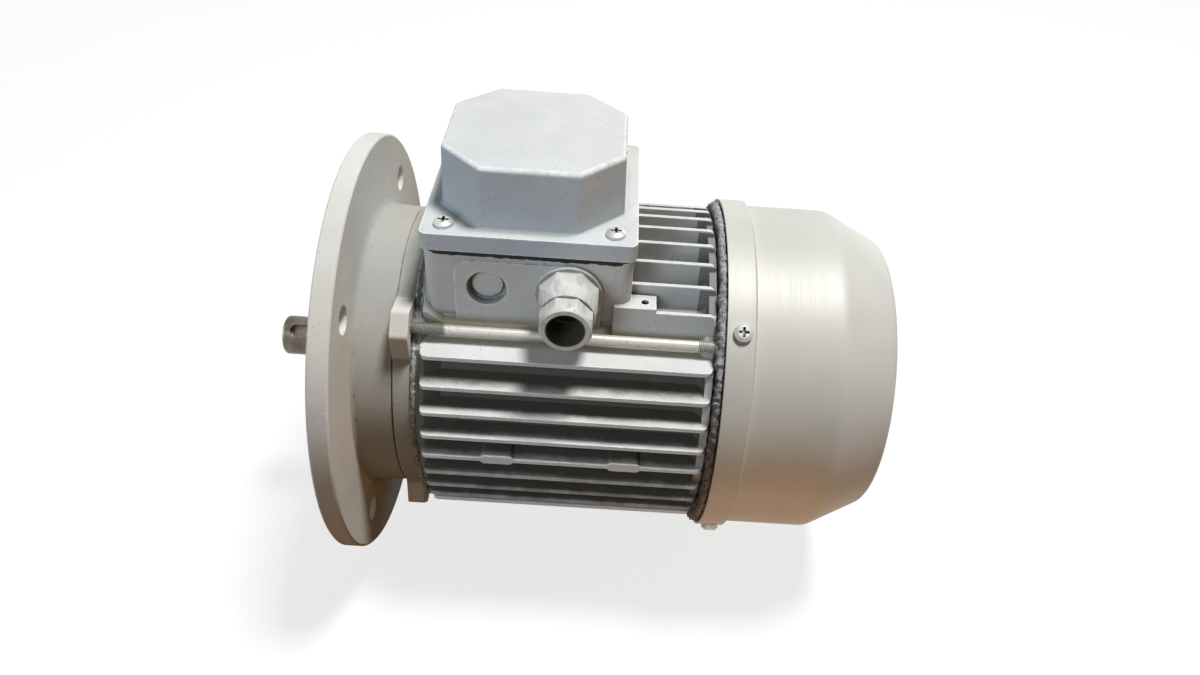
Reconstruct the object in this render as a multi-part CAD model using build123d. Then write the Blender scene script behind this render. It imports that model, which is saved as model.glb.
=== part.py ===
from build123d import *
import math
import os

# Flange-mounted three-phase induction motor, frame size 80, in millimetres.
# The shaft axis is X. The origin is the centre of the flange's mounting face, the shaft end
# points along -X, the fan is at +X and the terminal box is on top, towards +Z.

# Flange and its end shield
flange_radius = 100.0
flange_thickness = 9.0
flange_edge_chamfer = 0.8
flange_bolt_circle = 165.0
flange_bolt_count = 4
flange_bolt_radius = 6.0
first_bolt_angle = 45.0
spigot_radius = 65.0
spigot_length = 3.5
spigot_wall = 7.0
spigot_recess_depth = 2.0
neck_draft = 0.7
neck_fillet = 2.5
seam_groove = 0.8
shield_ring_height = 1.6
shield_ring_length = 8.3
shield_wall = 6.0
shield_rib_count = 6
shield_rib_thickness = 3.0
shield_rib_length = 12.0
hub_wall = 6.5

# Stator frame
frame_front = 34.5
frame_length = 128.0
frame_core_radius = 66.0
frame_wall = 6.0
frame_rim_height = 2.2
frame_rim_width = 3.6
frame_rim_blend = 2.4
front_web_height = 4.5
front_web_width = 2.0
front_web_slope = 6.5
rear_web_height = 7.0
rear_web_width = 3.2
rear_web_slope = 2.6
register_ledge = 4.0
register_depth = 5.0
register_wall = 3.0
register_clearance = 0.1

# Cooling fins
fin_height = 10.0
fin_front_inset = 5.2
fin_rear_inset = 0.5
fin_rod_gap = 6.6
fin_rows_each_side = 4
fin_tip_thickness = 1.9
fin_root_thickness = 3.0
fin_end_round = 2.6
fin_root_depth = 2.0
ejector_pad_length = 14.6
ejector_pad_width = 4.4
ejector_pad_insets = (38.0, 93.3)

# Tie rods
tie_rod_stand_off = 5.0
tie_rod_count = 4
tie_rod_thread_radius = 2.5
tie_rod_shank_radius = 2.25
tie_rod_front_thread = 13.0
tie_rod_rear_thread = 6.7
tie_rod_hole_clearance = 0.1
tie_rod_end_room = 0.6
tie_rod_projection = 1.4
tie_rod_washer_radius = 4.9
tie_rod_washer_thickness = 1.0
tie_rod_nut_flats = 8.0
tie_rod_nut_height = 4.0
lug_thickness = 7.5
lug_cap = 6.8
lug_root_half_width = 14.6
lug_tip_half_width = 5.6
lug_corner_round = 2.6

# Fan-end shield
fan_shield_ring_height = 4.0
fan_shield_ring_length = 5.0
fan_shield_rim_wall = 2.6
fan_shield_rim_length = 10.0
fan_shield_plate = 4.5
fan_shield_hub_shoulder = 1.8
cover_seat_clearance = 0.1

# Shaft and rotor
shaft_radius = 9.5
shaft_length = 40.0
shaft_end_round = 1.8
keyway_width = 6.0
keyway_depth = 3.5
keyway_length = 32.0
keyway_from_end = 4.0
keyway_angle = 126.0
centre_thread_radius = 2.5
centre_thread_depth = 16.0
bearing_seat_radius = 10.0
shaft_body_radius = 12.5
rotor_seat_radius = 14.0
fan_seat_radius = 8.0
fan_seat_length = 33.6
core_inset = 24.0
core_length = 80.0
rotor_radius = 37.2
air_gap = 0.4
rotor_slot_count = 22
rotor_slot_outer = 35.6
rotor_slot_inner = 27.6
rotor_slot_outer_width = 5.2
rotor_slot_inner_width = 3.4
cage_bar_clearance = 0.05
cage_ring_thickness = 9.0
cage_ring_outer = 36.4
cage_ring_inner = 25.0
cage_blade_count = 11
cage_blade_height = 7.0
cage_blade_thickness = 2.4
cage_blade_inner = 28.0

# Stator core and winding
stator_slot_count = 24
slot_mouth_width = 2.6
slot_mouth_depth = 1.2
slot_inner_width = 5.4
slot_outer_width = 8.2
slot_depth = 13.0
winding_clearance = 0.2
overhang_length = 20.0
overhang_inner = 41.0
overhang_gap = 5.0
overhang_round = 5.0

# Ball bearings, 20 x 47 x 14
bearing_bore_radius = 10.0
bearing_outer_radius = 23.5
bearing_width = 14.0
inner_race_radius = 14.2
outer_race_radius = 19.3
ball_radius = 3.95
ball_clearance = 0.2
ball_count = 8
ball_circle = 16.75
ring_chamfer = 0.6
cage_inner_radius = 15.6
cage_outer_radius = 17.9
cage_half_width = 5.0
shield_plate_thickness = 0.5
shield_plate_inset = 0.5
shield_seat_depth = 0.6
shield_lip_clearance = 0.3
drive_bearing_front = 10.0
fan_bearing_overhang = 3.5
bearing_shoulder_hole = 14.0
hub_overlap = 2.0
bearing_circlip_thickness = 1.5
bearing_circlip_depth = 1.2
bearing_circlip_height = 3.6
circlip_gap_angle = 40.0
wave_spring_thickness = 0.6
wave_spring_height = 1.8
wave_spring_inner = 18.6
wave_spring_lobes = 3
seal_radius = 17.5
seal_width = 6.0
seal_front_inset = 0.4
seal_wall = 1.6
seal_lip_clearance = 0.05

# Cooling fan and its clip
fan_gap = 9.5
fan_tip_clearance = 9.4
fan_hub_radius = 16.0
fan_hub_length = 18.0
fan_plate_thickness = 2.4
fan_plate_inset = 7.0
fan_blade_count = 7
fan_blade_thickness = 2.4
fan_blade_length = 22.0
fan_blade_slope = 6.0
fan_bore_clearance = 0.03
clip_thickness = 1.2
clip_groove_depth = 0.6
clip_height = 3.0

# Fan cover
cover_overlap = 1.1
cover_nut_clearance = 0.78
cover_band_length = 11.8
cover_step_length = 1.0
cover_step_height = 2.25
cover_straight_length = 51.1
cover_cone_length = 25.5
cover_cone_drop = 13.0
cover_sheet = 1.2
cover_cone_round = 10.0
cover_rear_round = 4.0
grille_edge = 3.0
grille_first_radius = 13.0
grille_ring_pitch = 10.0
grille_slot_width = 6.0
grille_slots_per_ring = 6
grille_web = 4.5
cover_screw_inset = 6.6
cover_screw_offset = -4.0
cover_screw_radius = 2.0
cover_screw_depth = 5.0
cover_screw_head_radius = 4.0
cover_screw_head_height = 2.7

# Terminal box walls, cast in one with the frame
box_inset = 5.3
box_length = 86.2
box_half_depth = 42.3
box_sink = 1.86
box_height = 17.7
box_wall = 4.0
box_corner = 5.0
box_inner_corner = 3.0
box_foot_round = 7.0
box_boss_radius = 5.0
panel_front_inset = 12.7
panel_rear_inset = 12.4
panel_top_inset = 2.7
panel_height = 0.8
panel_front_round = 6.0
panel_rear_round = 13.5
entry_spacing = 34.2
entry_drop = 15.9
knockout_radius = 8.45
knockout_depth = 4.6
knockout_disc_radius = 6.3
knockout_disc_height = 1.1
knockout_wall = 2.0
entry_boss_radius = 13.0
entry_boss_height = 2.2
lead_hole_radius = 8.0
lead_hole_inset = 14.7
outer_top_fin_overlap = 7.0
earth_pad_length = 10.8
earth_pad_width = 9.8
earth_pad_height = 1.93
earth_hole_radius = 1.65
earth_hole_depth = 8.0
earth_hole_inset = 6.0

# Terminal box lid
gasket_thickness = 1.5
gasket_inset = 0.2
lid_overhang = 0.9
lid_corner = 3.5
lid_plate_thickness = 7.7
lid_dome_height = 27.2
lid_dome_inset_x = 4.9
lid_dome_inset_y = 4.7
lid_dome_chamfer = 17.8
lid_dome_draft = 1.0
lid_dome_round = 2.2
lid_dome_edge_round = 3.0
lid_dome_foot_round = 1.2
lid_wall = 3.0
lid_screw_inset_x = 8.3
lid_screw_inset_y = 6.7
lid_screw_radius = 2.0
lid_screw_length = 20.0
lid_screw_clearance = 0.25
lid_screw_head_radius = 4.0
lid_screw_head_height = 2.6
recess_arm_width = 1.1
recess_arm_length = 4.4
recess_depth = 1.4

# Terminal board
board_length = 62.0
board_width = 40.0
board_thickness = 5.0
board_stand_off = 5.0
board_corner = 3.0
board_rib_height = 5.0
board_rib_thickness = 1.6
board_screw_half_spacing = 26.5
board_screw_half_depth = 14.5
board_boss_radius = 5.0
stud_radius = 2.0
stud_head_height = 1.6
stud_projection = 15.0
stud_pitch = 16.0
stud_row_spacing = 18.0
stud_columns = 3
stud_nut_flats = 7.0
stud_nut_height = 3.2
link_width = 8.0
link_thickness = 1.0
fit_clearance = 0.05
board_screw_length = 12.0
earth_stud_inset = 13.5
earth_stud_half_depth = 26.0
earth_stud_height = 9.0

# Cable gland: body in the wall, pressure screw with an eight-sided head, ring and seal
gland_collar_radius = 13.9
gland_collar_width = 2.0
gland_sides = 8
gland_body_length = 14.6
gland_body_rear_radius = 13.4
gland_body_front_radius = 11.4
gland_body_flats = 24.6
gland_shank_radius = 10.0
gland_shank_length = 11.0
gland_bore_radius = 6.4
gland_thread_radius = 9.0
gland_nut_gap = 0.8
gland_nut_head_length = 7.6
gland_nut_flats = 21.2
gland_nut_front_radius = 9.9
gland_nut_face_slope = 32.0
gland_nut_thread_length = 7.0
gland_nut_bore = 7.8
gland_ring_length = 1.5
gland_ring_bore = 6.6
gland_ring_clearance = 0.15
gland_seal_length = 9.0
gland_seal_bore = 5.6
gland_locknut_flats = 24.0
gland_locknut_thickness = 3.0
gland_relief = 0.35

# Radii that follow from the frame's core
frame_bore_radius = frame_core_radius - frame_wall
register_radius = frame_core_radius - register_ledge
frame_rim_radius = frame_core_radius + frame_rim_height
front_web_radius = frame_core_radius + front_web_height
rear_web_radius = frame_core_radius + rear_web_height
fin_tip_radius = frame_core_radius + fin_height
shield_ring_radius = frame_core_radius + shield_ring_height
neck_radius_front = shield_ring_radius
neck_radius_rear = neck_radius_front - neck_draft
tie_rod_circle = frame_core_radius + tie_rod_stand_off
lug_outer_radius = tie_rod_circle + lug_cap
fan_shield_ring_radius = frame_core_radius + fan_shield_ring_height
stator_bore_radius = rotor_radius + air_gap
overhang_outer = frame_bore_radius - overhang_gap
cover_body_radius = (
    tie_rod_circle + tie_rod_nut_flats / math.sqrt(3) + cover_nut_clearance + cover_sheet
)
cover_band_radius = cover_body_radius + cover_step_height
cover_rear_radius = cover_body_radius - cover_cone_drop
fan_shield_rim_radius = cover_band_radius - cover_sheet - cover_seat_clearance
fan_radius = cover_body_radius - cover_sheet - fan_tip_clearance
fan_plate_radius = fan_radius - fan_plate_inset
grille_reach = cover_rear_radius - cover_rear_round - grille_edge - grille_slot_width / 2
grille_ring_count = 1 + int((grille_reach - grille_first_radius) / grille_ring_pitch)

# Stations along the shaft that follow from the sizes above
frame_rear = frame_front + frame_length
neck_end = frame_front - shield_ring_length
fin_front = frame_front + fin_front_inset
fin_rear = frame_rear - fin_rear_inset
core_front = frame_front + core_inset
core_rear = core_front + core_length
drive_bearing_rear = drive_bearing_front + bearing_width
fan_bearing_front = frame_rear - fan_bearing_overhang
fan_bearing_rear = fan_bearing_front + bearing_width
spring_rear = fan_bearing_rear + wave_spring_height
fan_shield_plate_front = frame_rear + fan_shield_ring_length
fan_shield_rear = fan_shield_plate_front + fan_shield_rim_length
tie_rod_front_thread_end = frame_front + tie_rod_front_thread
tie_rod_rear_thread_start = frame_rear - tie_rod_rear_thread
tie_rod_end = (
    fan_shield_rear + tie_rod_washer_thickness + tie_rod_nut_height + tie_rod_projection
)
fan_seat_front = fan_bearing_rear + 1.0
shaft_rear = fan_seat_front + fan_seat_length
fan_front = fan_shield_rear + fan_gap
clip_front = fan_front + fan_hub_length
cover_front = fan_shield_plate_front - cover_overlap
cover_band_end = cover_front + cover_band_length
cover_cone_start = cover_front + cover_straight_length
cover_rear = cover_cone_start + cover_cone_length
cover_screw_place = cover_front + cover_screw_inset

# Fin spacing: the outermost fins keep clear of the tie rods, which lie between the fin groups
fin_pitch = (tie_rod_circle / math.sqrt(2) - fin_rod_gap) / fin_rows_each_side
fin_group_half_width = fin_pitch * fin_rows_each_side + fin_tip_thickness / 2
outer_fin_height = math.sqrt(fin_tip_radius**2 - fin_group_half_width**2)

# Terminal box, lid and board
box_front = frame_front + box_inset
box_rear = box_front + box_length
box_centre = (box_front + box_rear) / 2
box_bottom = math.sqrt(frame_core_radius**2 - box_half_depth**2) - box_sink
box_top = frame_core_radius + box_height
box_inner_face = -(box_half_depth - box_wall)
panel_face = -(box_half_depth + panel_height)
entry_height = box_top - entry_drop
lid_bottom = box_top + gasket_thickness
lid_plate_top = lid_bottom + lid_plate_thickness
lid_top = lid_plate_top + lid_dome_height
lid_dome_half_length = box_length / 2 - lid_dome_inset_x
lid_dome_half_depth = box_half_depth - lid_dome_inset_y
lid_screw_half_length = box_length / 2 - lid_screw_inset_x
lid_screw_half_depth = box_half_depth - lid_screw_inset_y
board_bottom = frame_core_radius + board_stand_off
earth_stud_bottom = board_bottom - 2.0
earth_stud_place = (box_rear - earth_stud_inset, earth_stud_half_depth)
lead_hole_place = box_front + lead_hole_inset
earth_pad_rear = box_rear + earth_pad_length
earth_pad_top = outer_fin_height + earth_pad_height
earth_hole_place = (box_rear + earth_hole_inset, earth_pad_width / 2 - fin_group_half_width)

# Cable gland
gland_place = box_centre + entry_spacing / 2
knockout_place = box_centre - entry_spacing / 2
gland_body_front = panel_face - gland_collar_width - gland_body_length
gland_nut_rear = gland_body_front - gland_nut_gap
gland_ring_front = gland_nut_rear + gland_nut_thread_length
gland_seal_front = gland_ring_front + gland_ring_length
gland_seal_rear = gland_seal_front + gland_seal_length


def turned(points, rounds=()):
    """Solid turned about X from (x, radius) corners; rounds lists (corner, fillet radius)."""
    section = Polygon(*points, align=None)
    for corner, radius in rounds:
        vertex = section.vertices().sort_by_distance((corner[0], corner[1], 0))[0]
        section = fillet(vertex, radius)
    return revolve(section, Axis.X)


def cylinder_x(start, end, radius, y=0.0, z=0.0):
    """Round bar along X between two stations."""
    return extrude(Plane.YZ.offset(start) * Pos(y, z) * Circle(radius), end - start)


def ring_x(start, end, outer, inner):
    """Plain ring about the shaft axis."""
    return cylinder_x(start, end, outer) - cylinder_x(start, end, inner)


def cylinder_z(x, y, start, end, radius):
    """Round bar along Z between two heights."""
    return Pos(x, y, start) * extrude(Circle(radius), end - start)


def facing_front(x, y, z):
    """Plane at a point of the front side, whose normal is -Y, with X to the right and Z up."""
    return Plane(origin=(x, y, z), x_dir=(1, 0, 0), z_dir=(0, -1, 0))


def front_cylinder(x, z, start, end, radius):
    """Round bar along -Y, from y = start out to y = end."""
    return extrude(facing_front(x, start, z) * Circle(radius), start - end)


def spaced(shape, count, first_angle=0.0):
    """Copies of a shape at equal angles about the shaft axis."""
    return [Rot(first_angle + 360.0 / count * k, 0, 0) * shape for k in range(count)]


def group(shapes):
    """Separate solids of one sub-part."""
    return Compound(children=[solid for shape in shapes for solid in shape.solids()])


def pan_screw(head_radius, head_height, radius, length):
    """Cross-recessed pan-head screw, its seat at z = 0 and its head above."""
    crown = Polygon(
        (0, 0),
        (head_radius, 0),
        (head_radius, head_height * 0.55),
        (head_radius * 0.62, head_height),
        (0, head_height),
        align=None,
    )
    head = revolve(Plane.XZ * crown, Axis.Z)
    arm = Box(recess_arm_length, recess_arm_width, recess_depth * 2)
    cross = Pos(0, 0, head_height) * (arm + Rot(0, 0, 90) * arm)
    shank = Pos(0, 0, -length) * extrude(Circle(radius), length)
    return head + shank - cross


def hexagon_nut(flats, height, hole):
    """Hexagon nut standing on z = 0."""
    outline = RegularPolygon(flats / 2, 6, major_radius=False) - Circle(hole)
    return extrude(outline, height)


def tie_rod_lug(start, length, inner_radius, hole):
    """Lug for one tie rod, tapered from the ring outwards, centred on +Y."""
    outline = Polygon(
        (inner_radius, -lug_root_half_width),
        (frame_core_radius, -lug_root_half_width),
        (lug_outer_radius, -lug_tip_half_width),
        (lug_outer_radius, lug_tip_half_width),
        (frame_core_radius, lug_root_half_width),
        (inner_radius, lug_root_half_width),
        align=None,
    )
    tips = outline.vertices().filter_by_position(Axis.X, lug_outer_radius - 0.1, lug_outer_radius + 0.1)
    outline = fillet(tips, lug_corner_round)
    lug = extrude(Plane.YZ.offset(start) * outline, length)
    if hole:
        lug -= cylinder_x(start, start + length, hole, y=tie_rod_circle)
    return lug


def flange_end_shield():
    """Flange, neck, tie-rod lugs and drive-end bearing hub in one casting."""
    hub_radius = bearing_outer_radius + hub_wall
    recess_floor = -spigot_length + spigot_recess_depth
    seal_rear = seal_front_inset + seal_width
    hub_end = drive_bearing_rear + hub_overlap + bearing_circlip_thickness
    spigot_outer = register_radius - register_clearance
    spigot_inner = spigot_outer - register_wall
    neck_inner = neck_radius_rear - shield_wall
    neck_corner = (flange_thickness, neck_radius_front)
    profile = [
        (-spigot_length, spigot_radius - spigot_wall),
        (-spigot_length, spigot_radius),
        (0, spigot_radius),
        (0, flange_radius),
        (flange_thickness, flange_radius),
        neck_corner,
        (neck_end, neck_radius_rear),
        (neck_end, neck_radius_rear - seam_groove),
        (neck_end + seam_groove, neck_radius_rear - seam_groove),
        (neck_end + seam_groove, shield_ring_radius),
        (frame_front, shield_ring_radius),
        (frame_front, spigot_outer),
        (frame_front + register_depth, spigot_outer),
        (frame_front + register_depth, spigot_inner),
        (frame_front - register_depth, spigot_inner),
        (flange_thickness + neck_fillet, neck_inner),
        (flange_thickness, neck_inner - neck_fillet),
        (flange_thickness, hub_radius),
        (hub_end, hub_radius),
        (hub_end, bearing_outer_radius),
        (drive_bearing_front, bearing_outer_radius),
        (drive_bearing_front, bearing_shoulder_hole),
        (seal_rear, bearing_shoulder_hole),
        (seal_rear, seal_radius),
        (recess_floor, seal_radius),
        (recess_floor, spigot_radius - spigot_wall),
    ]
    shield = turned(profile, rounds=[(neck_corner, neck_fillet)])
    rim_edges = shield.edges().filter_by(GeomType.CIRCLE)
    rim_edges = [edge for edge in rim_edges if abs(edge.radius - flange_radius) < 0.01]
    shield = chamfer(rim_edges, flange_edge_chamfer)
    groove = ring_x(
        drive_bearing_rear,
        drive_bearing_rear + bearing_circlip_thickness,
        bearing_outer_radius + bearing_circlip_depth,
        bearing_outer_radius - 1,
    )
    shield -= groove
    rib_length = neck_inner - hub_radius + 2
    rib = Pos(
        flange_thickness + shield_rib_length / 2 - 0.5, hub_radius - 1 + rib_length / 2, 0
    ) * Box(shield_rib_length + 1, rib_length, shield_rib_thickness)
    shield += spaced(rib, shield_rib_count)
    lug_start = frame_front - lug_thickness
    lug_root = spigot_outer + 1
    lug = tie_rod_lug(lug_start, lug_thickness, lug_root, None)
    shield += spaced(lug, tie_rod_count, first_bolt_angle)
    rod_hole = cylinder_x(
        lug_start + tie_rod_end_room / 2,
        frame_front,
        tie_rod_thread_radius + tie_rod_hole_clearance,
        y=tie_rod_circle,
    )
    shield -= spaced(rod_hole, tie_rod_count, first_bolt_angle)
    bolt_hole = cylinder_x(0, flange_thickness, flange_bolt_radius, y=flange_bolt_circle / 2)
    shield -= spaced(bolt_hole, flange_bolt_count, first_bolt_angle)
    return shield


def cooling_fin(offset, start, end):
    """One fin pointing along +Y, thinner at its square tip, with its outer corners rounded."""
    half_tip = fin_tip_thickness / 2
    half_root = fin_root_thickness / 2
    reach = math.sqrt(fin_tip_radius**2 - (abs(offset) + half_tip) ** 2)
    root_circle = frame_core_radius - fin_root_depth
    root = math.sqrt(root_circle**2 - (abs(offset) + half_root) ** 2)
    section = Polygon(
        (root, offset - half_root),
        (reach, offset - half_tip),
        (reach, offset + half_tip),
        (root, offset + half_root),
        align=None,
    )
    bar = extrude(Plane.YZ.offset(start) * section, end - start)
    side = Polygon((start, root), (end, root), (end, reach), (start, reach), align=None)
    side = fillet(side.vertices().sort_by(Axis.Y)[2:], fin_end_round)
    return bar & Pos(0, 0, offset - half_root) * extrude(side, fin_root_thickness)


def fin_webs():
    """Low walls that close the channels of one fin group at both ends, round +Y."""
    root = frame_core_radius - fin_root_depth
    front = fin_front - front_web_width / 2
    front_wall = turned(
        [
            (front, root),
            (front, front_web_radius),
            (front + front_web_width, front_web_radius),
            (front + front_web_width + front_web_slope, frame_core_radius),
            (front + front_web_width + front_web_slope, root),
        ]
    )
    rear = frame_rear - rear_web_width
    rear_wall = turned(
        [
            (rear - rear_web_slope, root),
            (rear - rear_web_slope, frame_core_radius),
            (rear, frame_core_radius + rear_web_slope),
            (rear, rear_web_radius),
            (frame_rear, rear_web_radius),
            (frame_rear, root),
        ]
    )
    quadrant = Box(
        frame_rear * 2,
        rear_web_radius,
        fin_group_half_width * 2,
        align=(Align.CENTER, Align.MIN, Align.CENTER),
    )
    return (front_wall + rear_wall) & quadrant


def stator_housing():
    """Finned frame with the terminal box walls cast on top."""
    blend = frame_rim_blend
    rim = frame_rim_width
    core = turned(
        [
            (frame_front, register_radius),
            (frame_front, frame_rim_radius),
            (frame_front + rim, frame_rim_radius),
            (frame_front + rim + blend, frame_core_radius),
            (frame_rear - rim - blend, frame_core_radius),
            (frame_rear - rim, frame_rim_radius),
            (frame_rear, frame_rim_radius),
            (frame_rear, register_radius),
            (frame_rear - register_depth, register_radius),
            (frame_rear - register_depth, frame_bore_radius),
            (frame_front + register_depth, frame_bore_radius),
            (frame_front + register_depth, register_radius),
        ]
    )
    rows = range(-fin_rows_each_side, fin_rows_each_side + 1)
    offsets = [row * fin_pitch for row in rows]
    fin_group = [cooling_fin(offset, fin_front, fin_rear) for offset in offsets]
    fin_group.append(fin_webs())
    pad_plane = Plane(origin=(0, frame_core_radius - 1, 0), x_dir=(1, 0, 0), z_dir=(0, 1, 0))
    pad_height = fin_tip_radius - frame_core_radius + 1
    for inset in ejector_pad_insets:
        outline = Pos(frame_front + inset, 0) * SlotOverall(ejector_pad_length, ejector_pad_width)
        fin_group.append(extrude(pad_plane * outline, pad_height))
    fins = [Rot(angle, 0, 0) * shape for angle in (0.0, 180.0, 270.0) for shape in fin_group]
    behind_box = [
        cooling_fin(offset, box_rear - box_wall / 2, fin_rear) for offset in offsets[1:-1]
    ]
    outer_start = box_rear - outer_top_fin_overlap
    behind_box += [
        cooling_fin(offset, outer_start, fin_rear) for offset in (offsets[0], offsets[-1])
    ]
    behind_box.append(fin_webs())
    fins += [Rot(90, 0, 0) * shape for shape in behind_box]
    housing = core + fins
    housing += terminal_box_walls()
    housing -= terminal_box_hollows()
    return housing


def box_block(grow, corner, bottom, top):
    """Upright block with the terminal box's plan, grown or shrunk all round."""
    length = box_rear - box_front + 2 * grow
    depth = 2 * (box_half_depth + grow)
    outline = RectangleRounded(length, depth, corner)
    return Pos(box_centre, 0, bottom) * extrude(outline, top - bottom)


def terminal_box_walls():
    """Outside of the terminal box, before it is hollowed."""
    block = box_block(0, box_corner, box_bottom, box_top)
    low_edges = block.edges().filter_by(Axis.Y).sort_by(Axis.Z)[:2]
    front_edge = ShapeList(low_edges).sort_by(Axis.X)[0]
    block = fillet(front_edge, box_foot_round)
    panel_front = box_front + panel_front_inset
    panel_rear = box_rear - panel_rear_inset
    panel_top = box_top - panel_top_inset
    panel = Polygon(
        (panel_front, box_bottom),
        (panel_rear, box_bottom),
        (panel_rear, panel_top),
        (panel_front, panel_top),
        align=None,
    )
    corners = panel.vertices().sort_by(Axis.Y)[2:].sort_by(Axis.X)
    panel = fillet(corners[0], panel_front_round)
    corners = panel.vertices().sort_by_distance((panel_rear, panel_top, 0))
    panel = fillet(corners[0], panel_rear_round)
    block += extrude(facing_front(0, -box_half_depth + 1, 0) * panel, panel_height + 1)
    pad_front = -fin_group_half_width
    pad = Pos(
        (box_rear - box_wall + earth_pad_rear) / 2, pad_front + earth_pad_width / 2, 0
    ) * Box(
        earth_pad_rear - box_rear + box_wall,
        earth_pad_width,
        earth_pad_top,
        align=(Align.CENTER, Align.CENTER, Align.MIN),
    )
    ledge_depth = box_half_depth - box_wall / 2 + pad_front
    ledge_start = box_rear - outer_top_fin_overlap
    ledge = Pos(
        (ledge_start + earth_pad_rear) / 2, pad_front - ledge_depth / 2, 0
    ) * Box(
        earth_pad_rear - ledge_start,
        abs(ledge_depth),
        earth_pad_top,
        align=(Align.CENTER, Align.CENTER, Align.MIN),
    )
    block += pad + ledge
    return block - cylinder_x(frame_front, frame_rear, frame_core_radius - 2)


def terminal_box_hollows():
    """Everything cut out of the frame at the terminal box."""
    hollow = box_block(-box_wall, box_inner_corner, 0, box_top)
    hollow -= cylinder_x(frame_front, frame_rear, frame_core_radius)
    for side_x in (-1, 1):
        for side_y in (-1, 1):
            x = box_centre + side_x * lid_screw_half_length
            y = side_y * lid_screw_half_depth
            hollow -= cylinder_z(x, y, box_bottom, box_top, box_boss_radius)
    for x, radius in (
        (gland_place, entry_boss_radius),
        (knockout_place, knockout_radius + knockout_wall),
    ):
        hollow -= front_cylinder(
            x, entry_height, box_inner_face + entry_boss_height, box_inner_face - 1, radius
        )
    for x, y in board_screw_places():
        hollow -= cylinder_z(x, y, box_bottom, board_bottom, board_boss_radius)
    hollow -= cylinder_z(
        earth_stud_place[0], earth_stud_place[1], box_bottom, earth_stud_bottom, board_boss_radius
    )
    seat = box_inner_face + entry_boss_height
    cuts = [hollow]
    cuts.append(
        locknut_prism(
            seat + gland_locknut_thickness + gland_relief,
            seat,
            gland_locknut_flats + 2 * gland_relief,
        )
    )
    cuts.append(cylinder_z(lead_hole_place, 0, frame_bore_radius - 5, box_top, lead_hole_radius))
    cuts.append(
        front_cylinder(
            gland_place,
            entry_height,
            box_inner_face + entry_boss_height,
            panel_face,
            gland_shank_radius + fit_clearance,
        )
    )
    floor = panel_face + knockout_depth
    disc_face = floor - knockout_disc_height
    recess = front_cylinder(knockout_place, entry_height, floor, panel_face, knockout_radius)
    recess -= front_cylinder(knockout_place, entry_height, floor, disc_face, knockout_disc_radius)
    cuts.append(recess)
    for side_x in (-1, 1):
        for side_y in (-1, 1):
            cuts.append(
                cylinder_z(
                    box_centre + side_x * lid_screw_half_length,
                    side_y * lid_screw_half_depth,
                    lid_plate_top - lid_screw_length - 1,
                    box_top,
                    lid_screw_radius + fit_clearance,
                )
            )
    for x, y in board_screw_places():
        cuts.append(
            cylinder_z(
                x,
                y,
                board_bottom + board_thickness - board_screw_length,
                board_bottom,
                lid_screw_radius + fit_clearance,
            )
        )
    cuts.append(
        cylinder_z(
            earth_stud_place[0],
            earth_stud_place[1],
            earth_stud_bottom - earth_stud_height,
            earth_stud_bottom,
            stud_radius + fit_clearance,
        )
    )
    cuts.append(
        cylinder_z(
            earth_hole_place[0],
            earth_hole_place[1],
            earth_pad_top - earth_hole_depth,
            earth_pad_top,
            earth_hole_radius,
        )
    )
    return cuts


def fan_end_shield():
    """Rear casting: bearing hub, plate and the rim that the fan cover sits on."""
    hub_radius = bearing_outer_radius + hub_wall
    spigot_outer = register_radius - register_clearance
    spigot_inner = spigot_outer - register_wall
    rim_inner = fan_shield_rim_radius - fan_shield_rim_wall
    plate_front = fan_shield_plate_front
    plate_rear = plate_front + fan_shield_plate
    hub_rear = spring_rear + fan_shield_hub_shoulder
    shield = turned(
        [
            (frame_rear - register_depth, spigot_inner),
            (frame_rear - register_depth, spigot_outer),
            (frame_rear, spigot_outer),
            (frame_rear, fan_shield_ring_radius),
            (plate_front, fan_shield_ring_radius),
            (plate_front, fan_shield_rim_radius),
            (fan_shield_rear, fan_shield_rim_radius),
            (fan_shield_rear, rim_inner),
            (plate_rear, rim_inner),
            (plate_rear, hub_radius),
            (hub_rear, hub_radius),
            (hub_rear, shaft_body_radius),
            (spring_rear, shaft_body_radius),
            (spring_rear, bearing_outer_radius),
            (fan_bearing_front - hub_overlap, bearing_outer_radius),
            (fan_bearing_front - hub_overlap, hub_radius),
            (plate_front, hub_radius),
            (plate_front, spigot_inner),
        ]
    )
    boss = tie_rod_lug(plate_front, fan_shield_rim_length, frame_core_radius - 2, None)
    bosses = spaced(boss, tie_rod_count, first_bolt_angle)
    front_lug = tie_rod_lug(
        plate_front - fan_shield_ring_length / 2, fan_shield_ring_length, frame_core_radius - 2, None
    )
    bosses += spaced(front_lug, tie_rod_count, first_bolt_angle)
    limit = cylinder_x(frame_rear, fan_shield_rear, fan_shield_rim_radius)
    shield += (Part() + bosses) & limit
    rod_hole = cylinder_x(
        frame_rear,
        fan_shield_rear,
        tie_rod_thread_radius + tie_rod_hole_clearance,
        y=tie_rod_circle,
    )
    shield -= spaced(rod_hole, tie_rod_count, first_bolt_angle)
    screw_hole = extrude(
        Plane(origin=(cover_screw_place, 0, 0), x_dir=(1, 0, 0), z_dir=(0, 1, 0))
        * Circle(cover_screw_radius + fit_clearance),
        fan_shield_rim_radius + 1,
    )
    screw_hole -= cylinder_x(
        frame_rear, fan_shield_rear, cover_band_radius - cover_screw_depth - cover_sheet
    )
    shield -= spaced(screw_hole, tie_rod_count, first_bolt_angle + cover_screw_offset)
    return shield


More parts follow.
